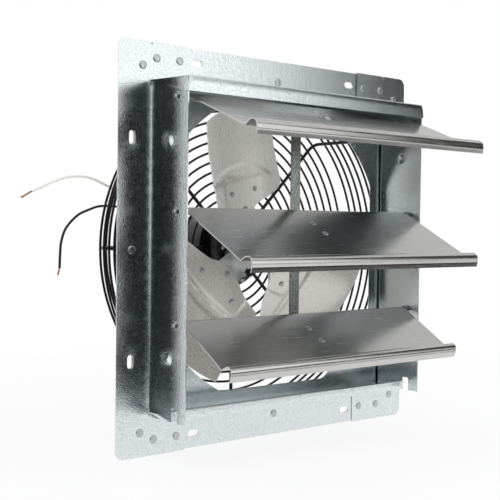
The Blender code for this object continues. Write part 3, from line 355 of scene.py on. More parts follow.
def bendRows(starts, half, count, upright=True, width=2.1):
    # Rows of points on the blank where it will bend, so that the bend comes out round.
    along = np.linspace(-half, half, count)
    rows = [joined(start + share, along)
            for start in starts for share in np.linspace(0.2, width, 6)]
    return rows if upright else [row[:, ::-1] for row in rows]


def foldLine(corners, radius):
    # The developed line of a bent sheet: an open polyline with rounded corners, read by
    # the length along it.
    line = rounded(corners, [0] + [radius] * (len(corners) - 2) + [0], 8)
    length = np.concatenate([[0], np.cumsum(np.linalg.norm(np.diff(line, axis=0), axis=1))])
    return line, length


def readLine(folded, distance):
    line, length = folded
    return np.stack([np.interp(distance, length, line[:, axis]) for axis in range(2)], axis=1)


def smoothRoute(points, step):
    # Even points on a curve through the given ones: on each span a cubic whose slope at
    # a point is half the way from the point before it to the point after.
    points = np.asarray(points, float)
    ends = np.vstack([2 * points[0] - points[1], points, 2 * points[-1] - points[-2]])
    t = np.linspace(0, 1, 24, endpoint=False)[None, :, None]
    before, first, second, after = (ends[start:len(ends) - 3 + start, None] for start in range(4))
    dense = (2 * first + (second - before) * t + (2 * before - 5 * first + 4 * second - after) * t ** 2
             + (3 * first - before - 3 * second + after) * t ** 3) / 2
    dense = np.vstack([dense.reshape(-1, points.shape[1]), points[-1]])
    length = np.concatenate([[0], np.cumsum(np.linalg.norm(np.diff(dense, axis=0), axis=1))])
    want = np.linspace(0, length[-1], max(3, int(np.ceil(length[-1] / step)) + 1))
    return np.stack([np.interp(want, length, dense[:, axis]) for axis in range(points.shape[1])], axis=1)


def joined(*parts):
    # The parts side by side as columns; a number fills its whole column.
    return np.stack(np.broadcast_arrays(*parts), axis=-1)


def box(left, low, right, high):
    return [(left, low), (right, low), (right, high), (left, high)]


def smoothStep(value):
    value = np.clip(value, 0, 1)
    return value * value * (3 - 2 * value)


def moved(shape, matrix):
    points, faces = shape
    grown = np.column_stack([points, np.ones(len(points))])
    return (grown @ np.array(matrix).T)[:, :3], faces


def addPiece(name, shapes, body, finish, replaced=(), thickness=0.0, chamfer=0.0, sharp=32):
    # Puts the shapes in one mesh, merges and orients them, gives the sheet its thickness
    # and its edges a small chamfer, and lets the piece ride on its body.
    points, faces, count = [], [], 0
    for shapePoints, shapeFaces in shapes:
        points.append(np.asarray(shapePoints) * 0.001)
        faces += [[corner + count for corner in face] for face in shapeFaces]
        count += len(shapePoints)
    mesh = bpy.data.meshes.new(name)
    mesh.from_pydata(np.concatenate(points).tolist(), [], faces)
    work = bmesh.new()
    work.from_mesh(mesh)
    bmesh.ops.remove_doubles(work, verts=work.verts, dist=2e-6)
    bmesh.ops.dissolve_degenerate(work, edges=work.edges, dist=1e-7)
    bmesh.ops.recalc_face_normals(work, faces=work.faces)
    work.to_mesh(mesh)
    work.free()
    piece = bpy.data.objects.new(name, mesh)
    bpy.context.scene.collection.objects.link(piece)
    if thickness:
        thicken = piece.modifiers.new("thickness", "SOLIDIFY")
        thicken.thickness, thicken.offset, thicken.use_even_offset = thickness * 0.001, 0.0, True
    if chamfer:
        edge = piece.modifiers.new("chamfer", "BEVEL")
        edge.width, edge.segments, edge.limit_method = chamfer * 0.001, 1, "ANGLE"
        edge.angle_limit = np.radians(50)
    if piece.modifiers:
        graph = bpy.context.evaluated_depsgraph_get()
        mesh = bpy.data.meshes.new_from_object(piece.evaluated_get(graph))
        piece.modifiers.clear()
        piece.data = mesh
        mesh.name = name
    mesh.shade_smooth()
    mesh.set_sharp_from_angle(angle=np.radians(sharp))
    mesh.materials.clear()
    mesh.materials.append(finishes[finish])
    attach(piece, body)
    if replaced:
        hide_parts(*replaced)
    return piece


# Leads: two stiff wires from the grommet, ends stripped bare
leads = {
    "diameter": 2.8, "start": (-39.3, 130.0), "step": 5.0, "strands": 7, "strand": 0.30, "strandCircle": 0.58,
    "twist": 11.0, "open": 0.35, "uneven": 0.03,
    "white": {"startZ": 12.6, "tip": (-238.6, 130.0, 51.1),
              "route": [(-52, 130, 15.0), (-85, 131, 40.0), (-112, 131, 57.5), (-135.7, 130, 67.0),
                        (-158.6, 130, 75.0), (-181.1, 130, 75.3), (-200.3, 130, 69.7), (-226.9, 130, 57.9)]},
    "black": {"startZ": 7.4, "tip": (-195.5, 130.0, -30.3),
              "route": [(-52, 130, 8.5), (-88, 129, 29.0), (-108, 129, 40.0), (-121.9, 130, 44.0),
                        (-144, 130, 44.2), (-158.3, 130, 40.0), (-172.4, 130, 33.6), (-186.1, 130, 19.9),
                        (-191.7, 130, 5.2), (-192.9, 130, -7.1), (-193.5, 130, -23.0)]},
}


def makeLead(colour, finish):
    own = leads[colour]
    start = (leads["start"][0], leads["start"][1], own["startZ"])
    path = smoothRoute([start] + own["route"], leads["step"])
    section = circleLine(leads["diameter"] / 2, 18)
    lead = addPiece(f"{colour}Lead", [sweep(path, section, (0, 1, 0))], "frame", finish,
                    [f"{colour}_lead"])
    # Seven strands: one straight, six in a helix round it that opens a little at the end.
    begin, end = path[-1], np.array(own["tip"])
    along = (end - begin) / np.linalg.norm(end - begin)
    side = np.cross(along, (0, 1, 0))
    share = np.linspace(0.02, 1, 22)[:, None]
    strands = []
    for strand in range(leads["strands"]):
        turn = 2 * pi * (strand / (leads["strands"] - 1) + share * np.linalg.norm(end - begin) / leads["twist"])
        ring = leads["strandCircle"] * (1 + leads["open"] * share ** 4) * (strand > 0)
        line = begin + (end - begin) * share * (1 - leads["uneven"] * (strand % 3))
        line = line + ring * (np.cos(turn) * side + np.sin(turn) * np.cross(along, side))
        strands.append(sweep(line, circleLine(leads["strand"], 8), side))
    tip = addPiece(f"{colour}LeadStrands", strands, "frame", "bareCopper", [f"{colour}_lead_tip"])


makeLead("white", "whitePvc")
makeLead("black", "blackPvc")

# Wall box and flange
sheetBox = {
    "sheet": 1.0, "chamfer": 0.18, "bend": 1.3, "spacing": 7.0, "flangeX": 203.0, "flangeY": 0.5, "flangeZ": 204.0,
    "corner": 9.0, "wallX": 164.5, "front": -61.3, "tab": 121.0, "relief": (165.0, 2.0, 2.4), "wallTop": 163.7,
    "tabTop": 165.3, "wallBottom": -164.3, "tabBottom": -164.9, "notch": (-39.0, -47.8, -150.0),
    "slot": (14.0, 7.0), "slotRow": (109.0, 188.5), "slotColumn": (187.0, 109.0),
    "pivots": (147.0, 38.0, -71.0), "pivotY": -43.0, "pivotHole": 3.9,
    "dimples": ((-32.0, 105.0), (-32.0, -105.0)), "dimple": (6.5, 1.6),
    "strip": (196.0, 203.0), "stripY": 1.8,
    "topWall": (164.5, -62.5, 150.0, 165.3), "bottomWall": (-163.5, -41.5, -154.0, 163.4),
}


def slotLoop(centre, upright):
    length, width = sheetBox["slot"]
    reach, radius = (length - width) / 2, width / 2
    ends = [circleLine(radius, 9, -pi / 2, pi / 2, False) + (reach, 0),
            circleLine(radius, 9, pi / 2, 3 * pi / 2, False) - (reach, 0)]
    loop = np.concatenate(ends)
    return (loop[:, ::-1] * (1, -1) if upright else loop) + centre


def makeSidePiece(name, side, node):
    # Flange and wall from one blank: the blank's first coordinate is the distance from
    # the flange's outer edge, round the bend and out along the wall.
    s = sheetBox
    fold = foldLine([(s["flangeX"], s["flangeY"]), (s["wallX"], s["flangeY"]), (s["wallX"], s["front"])], s["bend"])
    total = fold[1][-1]
    root = s["flangeX"] - s["wallX"] - s["bend"]

    def atDepth(y):
        return total - (y - s["front"])

    tab = s["flangeX"] - s["tab"]
    reliefX, reliefWide, reliefDeep = s["relief"]
    before, after = s["flangeX"] - reliefX + reliefWide / 2, s["flangeX"] - reliefX - reliefWide / 2
    top = s["flangeZ"]
    notchBack, notchFront, notchTop = s["notch"]
    corner = s["corner"]
    edge = np.concatenate([
        [(tab, s["tabTop"]), (root, s["tabTop"]), (root, s["wallTop"]), (total, s["wallTop"]),
         (total, s["wallBottom"]), (atDepth(notchFront), s["wallBottom"]), (atDepth(notchFront), notchTop),
         (atDepth(notchBack), notchTop), (atDepth(notchBack), s["wallBottom"]), (root, s["wallBottom"]),
         (root, s["tabBottom"]), (tab, s["tabBottom"]), (tab, -top), (before, -top), (before, reliefDeep - top),
         (after, reliefDeep - top), (after, -top)],
        (corner, corner - top) + circleLine(corner, 12, -pi / 2, -pi, False),
        (corner, top - corner) + circleLine(corner, 12, pi, pi / 2, False),
        [(after, top), (after, top - reliefDeep), (before, top - reliefDeep), (before, top), (tab, top)]])
    slotX, slotZ = s["slotColumn"]
    holes = [slotLoop((s["flangeX"] - slotX, end * slotZ), True) for end in (-1, 1)]
    holes += [circleLine(s["pivotHole"], 24) + (atDepth(s["pivotY"]), height) for height in s["pivots"]]
    dimpleMesh = [circleLine(radius, 16) + (atDepth(y), z) for y, z in s["dimples"]
                  for radius in (0.01, 1.2, 2.4, 3.6, 4.8, 6.0, 7.2)]

    def place(flat):
        bent = readLine(fold, flat[:, 0])
        straight = joined(s["flangeX"] - flat[:, 0], s["flangeY"])
        isWall = (flat[:, 1] > s["wallBottom"] - 0.2) & (flat[:, 1] < s["wallTop"] + 0.2)
        bent = np.where(isWall[:, None], bent, straight)
        x = bent[:, 0].copy()
        for y, z in s["dimples"]:
            reach = ((flat[:, 0] - atDepth(y)) ** 2 + (flat[:, 1] - z) ** 2) / s["dimple"][0] ** 2
            x += s["dimple"][1] * np.clip(1 - reach, 0, 1) ** 2 * isWall
        return joined(side * x, bent[:, 1], flat[:, 1])

    shape = cutSheet([edge] + holes, place, s["spacing"], dimpleMesh + bendRows([root], 160, 60))
    addPiece(name, [shape], "frame", "galvanised", [node], s["sheet"], s["chamfer"])


def makeWallPiece(name, node, level, wall):
    # The strip on the flange, the wall and its turned-in lip, from one blank.
    s = sheetBox
    height, front, lip, halfWidth = wall
    stripHalf, stripTop = s["strip"]
    fold = foldLine([(stripTop, s["stripY"]), (abs(height), s["stripY"]), (abs(height), front),
                     (abs(lip), front)], s["bend"])
    total = fold[1][-1]
    root = stripTop - abs(height) - s["bend"]
    edge = [(-stripHalf, 0), (stripHalf, 0), (stripHalf, root), (halfWidth, root), (halfWidth, total),
            (-halfWidth, total), (-halfWidth, root), (-stripHalf, root)]
    slotX, slotZ = s["slotRow"]
    holes = [slotLoop((end * slotX, stripTop - slotZ), False) for end in (-1, 1)]

    def place(flat):
        bent = readLine(fold, flat[:, 1])
        return joined(flat[:, 0], bent[:, 1], level * bent[:, 0])

    second = total - (abs(height) - abs(lip))
    rows = bendRows([root, second - s["bend"]], 164, 60, upright=False)
    shape = cutSheet([edge] + holes, place, s["spacing"], rows)
    addPiece(name, [shape], "frame", "galvanised", [node], s["sheet"], s["chamfer"])


orifice = {"half": (200.0, 201.0), "middle": 3.1, "radius": 166.0, "halfSide": 149.0}


def makeOrificePanel():
    # A flat sheet with a round opening whose four sides are cut straight.
    o = orifice
    loop = np.clip(circleLine(o["radius"], 360), -o["halfSide"], o["halfSide"])
    across, up = o["half"]
    edge = box(-across, -up, across, up)
    slots = [slotLoop((x * sheetBox["slotColumn"][0], z * sheetBox["slotColumn"][1]), True)
             for x in (-1, 1) for z in (-1, 1)]
    slots += [slotLoop((x * sheetBox["slotRow"][0], z * sheetBox["slotRow"][1]), False)
              for x in (-1, 1) for z in (-1, 1)]

    def place(flat):
        return joined(flat[:, 0], o["middle"], flat[:, 1])

    shape = cutSheet([edge, loop] + slots, place)
    addPiece("orificePanel", [shape], "frame", "galvanised", ["orifice_panel"], sheetBox["sheet"],
             sheetBox["chamfer"])


# The grips are the thicknesses that the rivets hold: at the guard's sides, at its top and
# bottom, and in the corners. The shank is a share of the tail's radius.
rivets = {"head": 4.2, "rise": 1.1, "flat": 2.9, "tail": 2.6, "tailRise": 1.2, "shank": 0.55, "gap": 0.05,
          "grips": (5.1, 3.8, 3.6), "guardSide": 186.5, "guardTop": 180.5,
          "corner": {-1: ((175.3, 180.0), (159.2, 188.2), (131.6, 188.4)),
                     1: ((184.0, 178.0), (160.5, 187.0), (131.6, 186.6))}}


def domeRivet(front, direction, grip, head, rise, tail, tailRise, steps=20, flat=0.0):
    # Head: a dome round a flat top, radius times the cosine and height times the sine of
    # an angle; then the shank and the upset tail, a lower dome of the same kind.
    gap, shank = rivets["gap"], tail * rivets["shank"]
    angles = np.linspace(pi / 2, 0.12, 8)
    dome = joined(flat + (head - flat) * np.cos(angles), -rise * np.sin(angles) ** 0.8)
    dome = np.concatenate([[(0, -rise)], dome]) if flat else dome
    upset = joined(tail * np.cos(angles[::-1]), grip + tailRise * np.sin(angles[::-1]) ** 0.6)
    profile = np.concatenate([dome, [(head, gap), (shank, gap), (shank, grip - gap), (tail, grip - gap)], upset])
    return turned(profile, steps, front, direction)


def makeFlangeRivets():
    r = rivets
    sideGrip, topGrip, cornerGrip = r["grips"]
    stripFront = sheetBox["stripY"] - sheetBox["sheet"] / 2
    made = []
    for end in (-1, 1):
        places = [((end * r["guardSide"], 0, 0), sideGrip), ((0, stripFront, end * r["guardTop"]), topGrip)]
        places += [((side * x, 0, end * z), cornerGrip) for side, corner in r["corner"].items() for x, z in corner]
        made += [domeRivet(place, (0, 1, 0), grip, r["head"], r["rise"], r["tail"], r["tailRise"], 28, r["flat"])
                 for place, grip in places]
    addPiece("flangeRivets", made, "frame", "zincPlate", sharp=40)


makeSidePiece("leftSidePiece", -1, "left_side_piece")
makeSidePiece("rightSidePiece", 1, "right_side_piece")
makeWallPiece("topPiece", "top_piece", 1, sheetBox["topWall"])
makeWallPiece("bottomPiece", "bottom_piece", -1, sheetBox["bottomWall"])
makeOrificePanel()
makeFlangeRivets()
print("wall box made")

# Pivot bushings and shutters
shutters = {
    "half": 158.0, "sheet": 0.9, "curl": 3.35, "rod": 2.5, "rodEnd": 167.3, "rodDome": 1.2, "rise": 6.9,
    "pivotY": -43.0, "bow": 0.175,
    "hem": [(0.10, 0.52), (0.27, 1.10), (0.42, 1.24), (0.56, 1.16), (0.66, 0.90), (0.71, 0.62), (0.755, 0.37)],
    "lobe": [(0.735, 0.35), (0.758, 0.29), (0.774, 0.10), (0.790, -0.15), (0.805, -0.38)],
    "top": {"z": 147.0, "angle": 21.5, "flat": 99.5, "reach": 22.0, "rivets": ((-5.6, 20.6), (-7.4, 43.7))},
    "middle": {"z": 38.0, "angle": 28.0, "flat": 99.8, "reach": 21.5, "rivets": ((-12.0, 28.9), (-12.3, 50.2))},
    "bottom": {"z": -71.0, "angle": 31.5, "flat": 73.5, "reach": 18.5, "rivets": ((-12.0, 24.5), (-10.2, 45.2))},
}
bushing = {"bore": 2.8, "shank": 3.6, "spacer": 5.0, "spacerX": (158.3, 163.7), "spacerEdge": 0.5,
           "head": 4.3, "headX": (165.3, 166.5), "headEdge": 0.4, "land": 0.6, "flare": 2.4}
bracket = {"left": -14.9, "sheet": 1.2, "chamfer": 0.15, "width": 11.0, "corner": 3, "back": 9.0, "front": 54.0,
           "flangeBack": 17.0, "top": 2.6, "scoop": 5.0, "boss": 5.0, "waist": (18.0, 7.6), "frontDepth": 4.6,
           "pin": (13.0, 9.0), "pinHole": 2.1, "rivetZ": 3.8, "rivet": (2.5, 3.4, 1.4, 2.6, 1.1)}


def inShutter(which):
    own = shutters[which]
    return (Matrix.Translation((0, shutters["pivotY"], own["z"]))
            @ Matrix.Rotation(np.radians(own["angle"]), 4, "X"))


def shutterLine(which):
    # The sheet's middle line: the curl round the rod, the flat, then the rolled hem, an
    # arch with a crease and a lobe that turns down.
    own, curl = shutters[which], shutters["curl"]
    hook = circleLine(curl, 26, np.radians(-40), np.radians(-270), False)
    flat = np.linspace(0, own["flat"], 14)[1:]
    scale = np.array([own["reach"], shutters["rise"]])
    start = np.array([own["flat"], curl])
    arch = smoothRoute(np.vstack([start, start + np.array(shutters["hem"]) * scale]), 0.8)[1:]
    lobe = smoothRoute(start + np.array(shutters["lobe"]) * scale, 0.5)[1:]
    return np.concatenate([hook, joined(flat, curl), arch, lobe])


def makeShutter(which):
    # The middle line carried along X, with a very slight bow that a thin sheet has.
    own = shutters[which]
    line = shutterLine(which)
    x = np.linspace(-shutters["half"], shutters["half"], 41)
    bow = np.cos(pi * x / (2 * shutters["half"]))[:, None] * np.clip(line[None, :, 0] / own["flat"], 0, 1)
    points = joined(x[:, None], -line[None, :, 0], line[None, :, 1] + shutters["bow"] * bow).reshape(-1, 3)
    sheet = moved((points, gridFaces(len(x), len(line))), inShutter(which))
    body = f"{which}_shutter_body"
    addPiece(f"{which}Shutter", [sheet], body, "shutterSheet", [f"{which}_shutter"], shutters["sheet"])
    end = shutters["rodEnd"]
    angles = np.linspace(0, pi / 2, 6)
    cap = joined(shutters["rod"] * np.sin(angles), shutters["rodDome"] * (np.cos(angles) - 1))
    rod = turned(np.concatenate([cap * (1, -1) - (0, end), cap[::-1] + (0, end)]), 24, (0, 0, 0), (1, 0, 0))
    addPiece(f"{which}ShutterRod", [moved(rod, inShutter(which))], body, "zincPlate",
             [f"{which}_shutter_rod"])


def makeBracket(which):
    # A pressed steel bracket: a web beside the pin and a flange riveted under the sheet.
    b = bracket
    angle = np.radians(shutters[which]["angle"])
    across, down = b["pin"]
    pin = np.array([down * np.sin(angle) - across * np.cos(angle), -across * np.sin(angle) - down * np.cos(angle)])
    edge = np.concatenate([[(b["front"], b["top"]), (b["back"], b["top"])],
                           circleLine(b["scoop"], 12, np.radians(-10), np.radians(-100), False),
                           circleLine(b["boss"], 20, np.radians(100), np.radians(300), False) + pin,
                           [(b["waist"][0], b["top"] - b["waist"][1]), (b["front"], b["top"] - b["frontDepth"])]])
    hole = circleLine(b["pinHole"], 18) + pin
    middle = b["left"] + b["sheet"] / 2

    def web(flat):
        return joined(middle, -flat[:, 0], flat[:, 1])

    def flange(flat):
        return joined(flat[:, 0], -flat[:, 1], b["top"] - b["sheet"] / 2)

    right = b["left"] + b["width"]
    outline = rounded(box(middle, b["flangeBack"], right, b["front"]), [0, b["corner"], b["corner"], 0])
    place = inShutter(which)
    shapes = [moved(cutSheet([edge, hole], web), place), moved(cutSheet([outline], flange), place)]
    body = f"{which}_shutter_body"
    addPiece(f"{which}LinkBracket", shapes, body, "zincPlate", [f"{which}_link_bracket"],
             b["sheet"], b["chamfer"])
    heads = [moved(domeRivet((x, -along, b["rivetZ"]), (0, 0, -1), *b["rivet"]), place)
             for x, along in shutters[which]["rivets"]]
    addPiece(f"{which}ShutterRivets", heads, body, "zincPlate", sharp=40)


def makeBushings():
    # A turned bush: spacer inside the wall, shank through it, head outside.
    b = bushing
    (inside, wallSide), (outside, tip) = b["spacerX"], b["headX"]
    profile = [(b["bore"], tip - b["flare"]), (b["head"] - b["land"], tip), (b["head"] - b["headEdge"], tip),
               (b["head"], tip - b["headEdge"]), (b["head"], outside), (b["shank"], outside), (b["shank"], wallSide),
               (b["spacer"], wallSide), (b["spacer"], inside + b["spacerEdge"]),
               (b["spacer"] - b["spacerEdge"], inside), (b["bore"], inside)]
    for which in ("top", "middle", "bottom"):
        for end, side in (("left", -1), ("right", 1)):
            made = turned(profile, 28, (0, shutters["pivotY"], shutters[which]["z"]), (side, 0, 0), True)
            addPiece(f"{which}{end.capitalize()}Bushing", [made], "frame", "zincPlate",
                     [f"{which}_{end}_bushing"])


# A pin's head and tail are (radius, distance from the inner face of each) pairs.
tieBar = {"x": (-11.4, 1.4), "y": -34.75, "z": (-87.0, 145.0), "sheet": 1.5, "chamfer": 0.2, "corner": 3.0,
          "earX": -10.65, "earY": (-35.0, -25.5), "ear": 6.0, "earCorner": 4, "hole": 2.05,
          "pins": {"top": 138.0, "middle": 29.0, "bottom": -80.0}, "pinY": -30.0, "pinX": (-9.6, -15.2),
          "head": [(0, 1.2), (2.2, 1.2), (3.0, 0.5), (3.0, 0), (1.75, 0)],
          "tail": [(1.75, 0), (3.0, 0), (3.0, -0.6), (2.4, -1.2), (0, -1.2)]}


def makeTieBar():
    # A flat bar with an ear folded back at each pin.
    t = tieBar
    low, high = t["z"]
    edge = rounded(box(t["x"][0], low, t["x"][1], high), t["corner"])

    def bar(flat):
        return joined(flat[:, 0], t["y"], flat[:, 1])

    def ear(flat):
        return joined(t["earX"], flat[:, 0], flat[:, 1])

    shapes = [cutSheet([edge], bar)]
    ends = [np.array(t[key]) + (0, x) for key, x in zip(("head", "tail"), t["pinX"])]
    for which, z in t["pins"].items():
        outline = rounded(box(t["earY"][0], z - t["ear"], t["earY"][1], z + t["ear"]),
                          [0, t["earCorner"], t["earCorner"], 0])
        shapes.append(cutSheet([outline, circleLine(t["hole"], 18) + (t["pinY"], z)], ear))
        pin = turned(np.concatenate(ends), 24, (0, t["pinY"], z), (1, 0, 0))
        addPiece(f"{which}TieBarPin", [pin], "tie_bar_body", "zincPlate", [f"tie_bar_pin_{which}"])
    addPiece("tieBar", shapes, "tie_bar_body", "barSteel", ["tie_bar"], t["sheet"], t["chamfer"])


makeBushings()
for which in ("top", "middle", "bottom"):
    makeShutter(which)
    makeBracket(which)
makeTieBar()
print("shutters made")

# Fan wheel: blade and arm points come from the same pitched surface. The plate is the
# embossed seat of the arm: middle, half depth, half width, corner, soft edge, depth. The
# bead is an arc: radius, half width, squash, half length, soft edge, height.
wheel = {
    "plane": 43.9, "angles": (100.7, 220.7, 340.7), "pitch": 18.56, "sheet": 1.2, "tip": 158.0,
    "tipAcross": (64.0, -70.0), "rake": (75.0, 80.0, 11.0), "spacing": 2.1, "camber": (34.0, 0.0023),
    "inner": [(-78.0, 65.0), (-70.0, 57.0), (-55.0, 52.0), (-39.0, 49.0), (-25.0, 46.0), (-16.0, 41.0),
              (-3.0, 38.0), (15.0, 41.6), (33.0, 48.6), (54.5, 51.5)],
    "trailing": [(54.5, 51.5), (56.0, 77.0), (59.0, 98.0), (62.0, 117.0), (64.0, 144.0)],
    "leading": [(-70.0, 140.0), (-70.0, 120.0), (-71.5, 109.0), (-75.5, 82.0), (-78.0, 65.0)],
    "plate": (62.5, 14.5, 36.0, 6.0, 2.0, 0.55), "bead": (88.0, 7.5, 0.75, 62.0, 2.6, 1.7),
    "rivets": ((44.0, 0.0), (63.9, -24.06), (63.9, 24.06)), "rivet": (3.3, 2.0, 2.8, 1.1), "lift": 0.5,
}
spider = {"sheet": 1.5, "behind": 1.5, "disc": 24.0, "bore": 5.3, "twist": (22.0, 41.0), "step": (44.0, 4.0, 0.5),
          "gap": (44, 76), "corner": 2.0, "spacing": 2.2, "hub": 12.0, "hubEnd": 54.6, "hubEdge": 0.8, "sunk": 0.3,
          "collar": ((8.6, 1.0), (9.4, 1.6)),
          "arm": [(18.0, 15.0), (30.0, 15.5), (40.0, 16.5), (45.5, 25.0), (50.0, 33.0), (56.0, 36.0), (68.0, 36.0),
                  (74.0, 32.0), (77.0, 26.0)]}


def wheelPoint(angle, radius, across, pitch, depth):
    # Outwards by the radius, sideways along the pitched chord, back along its normal by
    # the depth, all behind the blade plane less the rake, which grows as the square.
    outward = np.array([np.cos(angle), 0, np.sin(angle)])
    around = np.array([-np.sin(angle), 0, np.cos(angle)])
    back = np.array([0, 1.0, 0])
    pitch, radius, across = np.broadcast_arrays(pitch, radius, across)
    start, length, deep = wheel["rake"]
    rake = deep * (np.clip(radius - start, 0, None) / length) ** 2
    normal = back * np.cos(pitch)[:, None] + around * np.sin(pitch)[:, None]
    chord = around * np.cos(pitch)[:, None] - back * np.sin(pitch)[:, None]
    return (outward * radius[:, None] + chord * across[:, None] + back * (wheel["plane"] - rake)[:, None]
            + normal * np.broadcast_to(depth, radius.shape)[:, None])


def makeBlade(number, degrees):
    # The blank's coordinates are (across, radius). The arm's plate is embossed forwards
    # and a shallow bead arcs round beyond it.
    w = wheel
    angle, pitch = np.radians(degrees), np.radians(w["pitch"])
    inner = smoothRoute(w["inner"], 2.5)
    trailing = smoothRoute(w["trailing"], 4.0)[1:]
    leading = smoothRoute(w["leading"], 4.0)[:-1]
    tipAcross = np.linspace(*w["tipAcross"], 50)
    tip = joined(tipAcross, np.sqrt(w["tip"] ** 2 - (tipAcross * np.cos(pitch)) ** 2))
    edge = np.concatenate([inner, trailing[:-1], tip, leading[1:]])

    def place(blank):
        across, radius = blank[:, 0], blank[:, 1]
        middle, halfDeep, halfWide, corner, soft, emboss = w["plate"]
        past = np.hypot(np.maximum(np.abs(radius - middle) - halfDeep + corner, 0),
                        np.maximum(np.abs(across) - halfWide + corner, 0))
        plate = smoothStep(1 - (past - corner) / soft)
        beadRadius, beadHalf, squash, beadEnd, beadSoft, beadHigh = w["bead"]
        beadWide = beadHalf * np.sqrt(np.clip(1 - (across / beadEnd) ** 2, 0, 1))
        bead = smoothStep((beadWide - np.abs(np.hypot(across * squash, radius) - beadRadius)) / beadSoft)
        flat, curve = w["camber"]
        camber = curve * np.clip(np.abs(across) - flat, 0, None) ** 2
        depth = w["sheet"] / 2 - emboss * plate + beadHigh * bead - camber
        return wheelPoint(angle, radius, across, pitch, depth)

    shape = cutSheet([edge], place, w["spacing"])
    addPiece(f"fanBlade{number}", [shape], "fan_rotor", "bladeSheet", [f"blade_{number}"],
             w["sheet"])
    grip = w["sheet"] + spider["sheet"] + w["lift"]
    made = []
    for radius, across in w["rivets"]:
        front, behind = (wheelPoint(angle, np.array([radius]), np.array([across]), pitch, depth)[0]
                         for depth in (-w["lift"], grip))
        made.append(domeRivet(front, behind - front, grip, *w["rivet"], 28))
    return made


def makeSpider():
    # One star-shaped blank: arms as outline tables round a disc, twisted smoothly from
    # flat at the disc to the blade's pitch.
    s = spider
    arm = np.array(s["arm"])
    edge = []
    for degrees in wheel["angles"]:
        turn = np.radians(degrees)
        one = rounded(np.concatenate([arm * (1, -1), arm[::-1]]), s["corner"], 3)
        outward, around = np.array([np.cos(turn), np.sin(turn)]), np.array([-np.sin(turn), np.cos(turn)])
        edge.append(one[:, :1] * outward + one[:, 1:] * around)
        gapStart, gapEnd = (turn + np.radians(step) for step in s["gap"])
        edge.append(circleLine(s["disc"], 8, gapStart, gapEnd, False))
    edge = np.concatenate(edge)
    low, high = s["twist"]
    stepStart, stepLong, stepDeep = s["step"]

    def place(flat):
        bearing = np.degrees(np.arctan2(flat[:, 1], flat[:, 0]))
        points = np.zeros((len(flat), 3))
        for degrees in wheel["angles"]:
            turn = np.radians(degrees)
            mine = np.abs((bearing - degrees + 180) % 360 - 180) <= 60.001
            radius = flat[:, 0] * np.cos(turn) + flat[:, 1] * np.sin(turn)
            across = flat[:, 1] * np.cos(turn) - flat[:, 0] * np.sin(turn)
            pitch = np.radians(wheel["pitch"]) * smoothStep((radius - low) / (high - low))
            depth = s["behind"] + s["sheet"] / 2 - stepDeep * smoothStep((radius - stepStart) / stepLong)
            points[mine] = wheelPoint(turn, radius, across, pitch, depth)[mine]
        return points

    shape = cutSheet([edge, circleLine(s["bore"], 28)], place, s["spacing"])
    rivetShapes = []
    for number, degrees in enumerate(wheel["angles"]):
        rivetShapes += makeBlade(number + 1, degrees)
    addPiece("fanSpider", [shape], "fan_rotor", "clearZinc", ["fan_spider"], s["sheet"])
    plane, bore, end, bevel = wheel["plane"], s["bore"], s["hubEnd"], s["hubEdge"]
    back = plane + s["behind"] + s["sheet"] - s["sunk"]
    hub = turned([(bore, end), (s["hub"] - bevel, end), (s["hub"], end - bevel), (s["hub"], back), (bore, back)], 40,
                 closed=True)
    (narrow, near), (wide, far) = s["collar"]
    collar = turned([(bore, plane + near), (narrow, plane + near), (wide, plane + far), (bore, plane + far)], 40,
                    closed=True)
    addPiece("spiderHub", [hub, collar], "fan_rotor", "clearZinc")
    addPiece("bladeRivets", rivetShapes, "fan_rotor", "zincPlate", sharp=40)


shaft = {"radius": 5.0, "front": 42.9, "back": 145.2, "frontEdge": 0.7, "backEdge": 0.5}


def makeShaft():
    s = shaft
    radius, front, back = s["radius"], s["front"], s["back"]
    profile = [(0, front), (radius - s["frontEdge"], front), (radius, front + s["frontEdge"]),
               (radius, back - s["backEdge"]), (radius - s["backEdge"], back), (0, back)]
    addPiece("motorShaft", [turned(profile, 36)], "fan_rotor", "groundSteel", ["motor_shaft"])


makeSpider()
makeShaft()
print("fan wheel made")

# Wire guard. The enamel's coat makes the rings thicker, and the first ring and the first
# spoke are moved by the gap and a weld, so that they meet the others.
guard = {"wire": 1.15, "spoke": 2.0, "plane": 80.5, "first": 55.5, "pitch": 11.1, "faceRings": 11,
         "sideRadius": 180.0, "sideBack": 62.0, "sidePitch": 10.0, "sideRings": 6, "spokes": 8, "inner": 38.5,
         "firstInner": 46.3, "bend": 10.0, "end": 7.5, "rim": 50.0, "gap": 0.3, "weld": 0.4, "coat": 0.2}


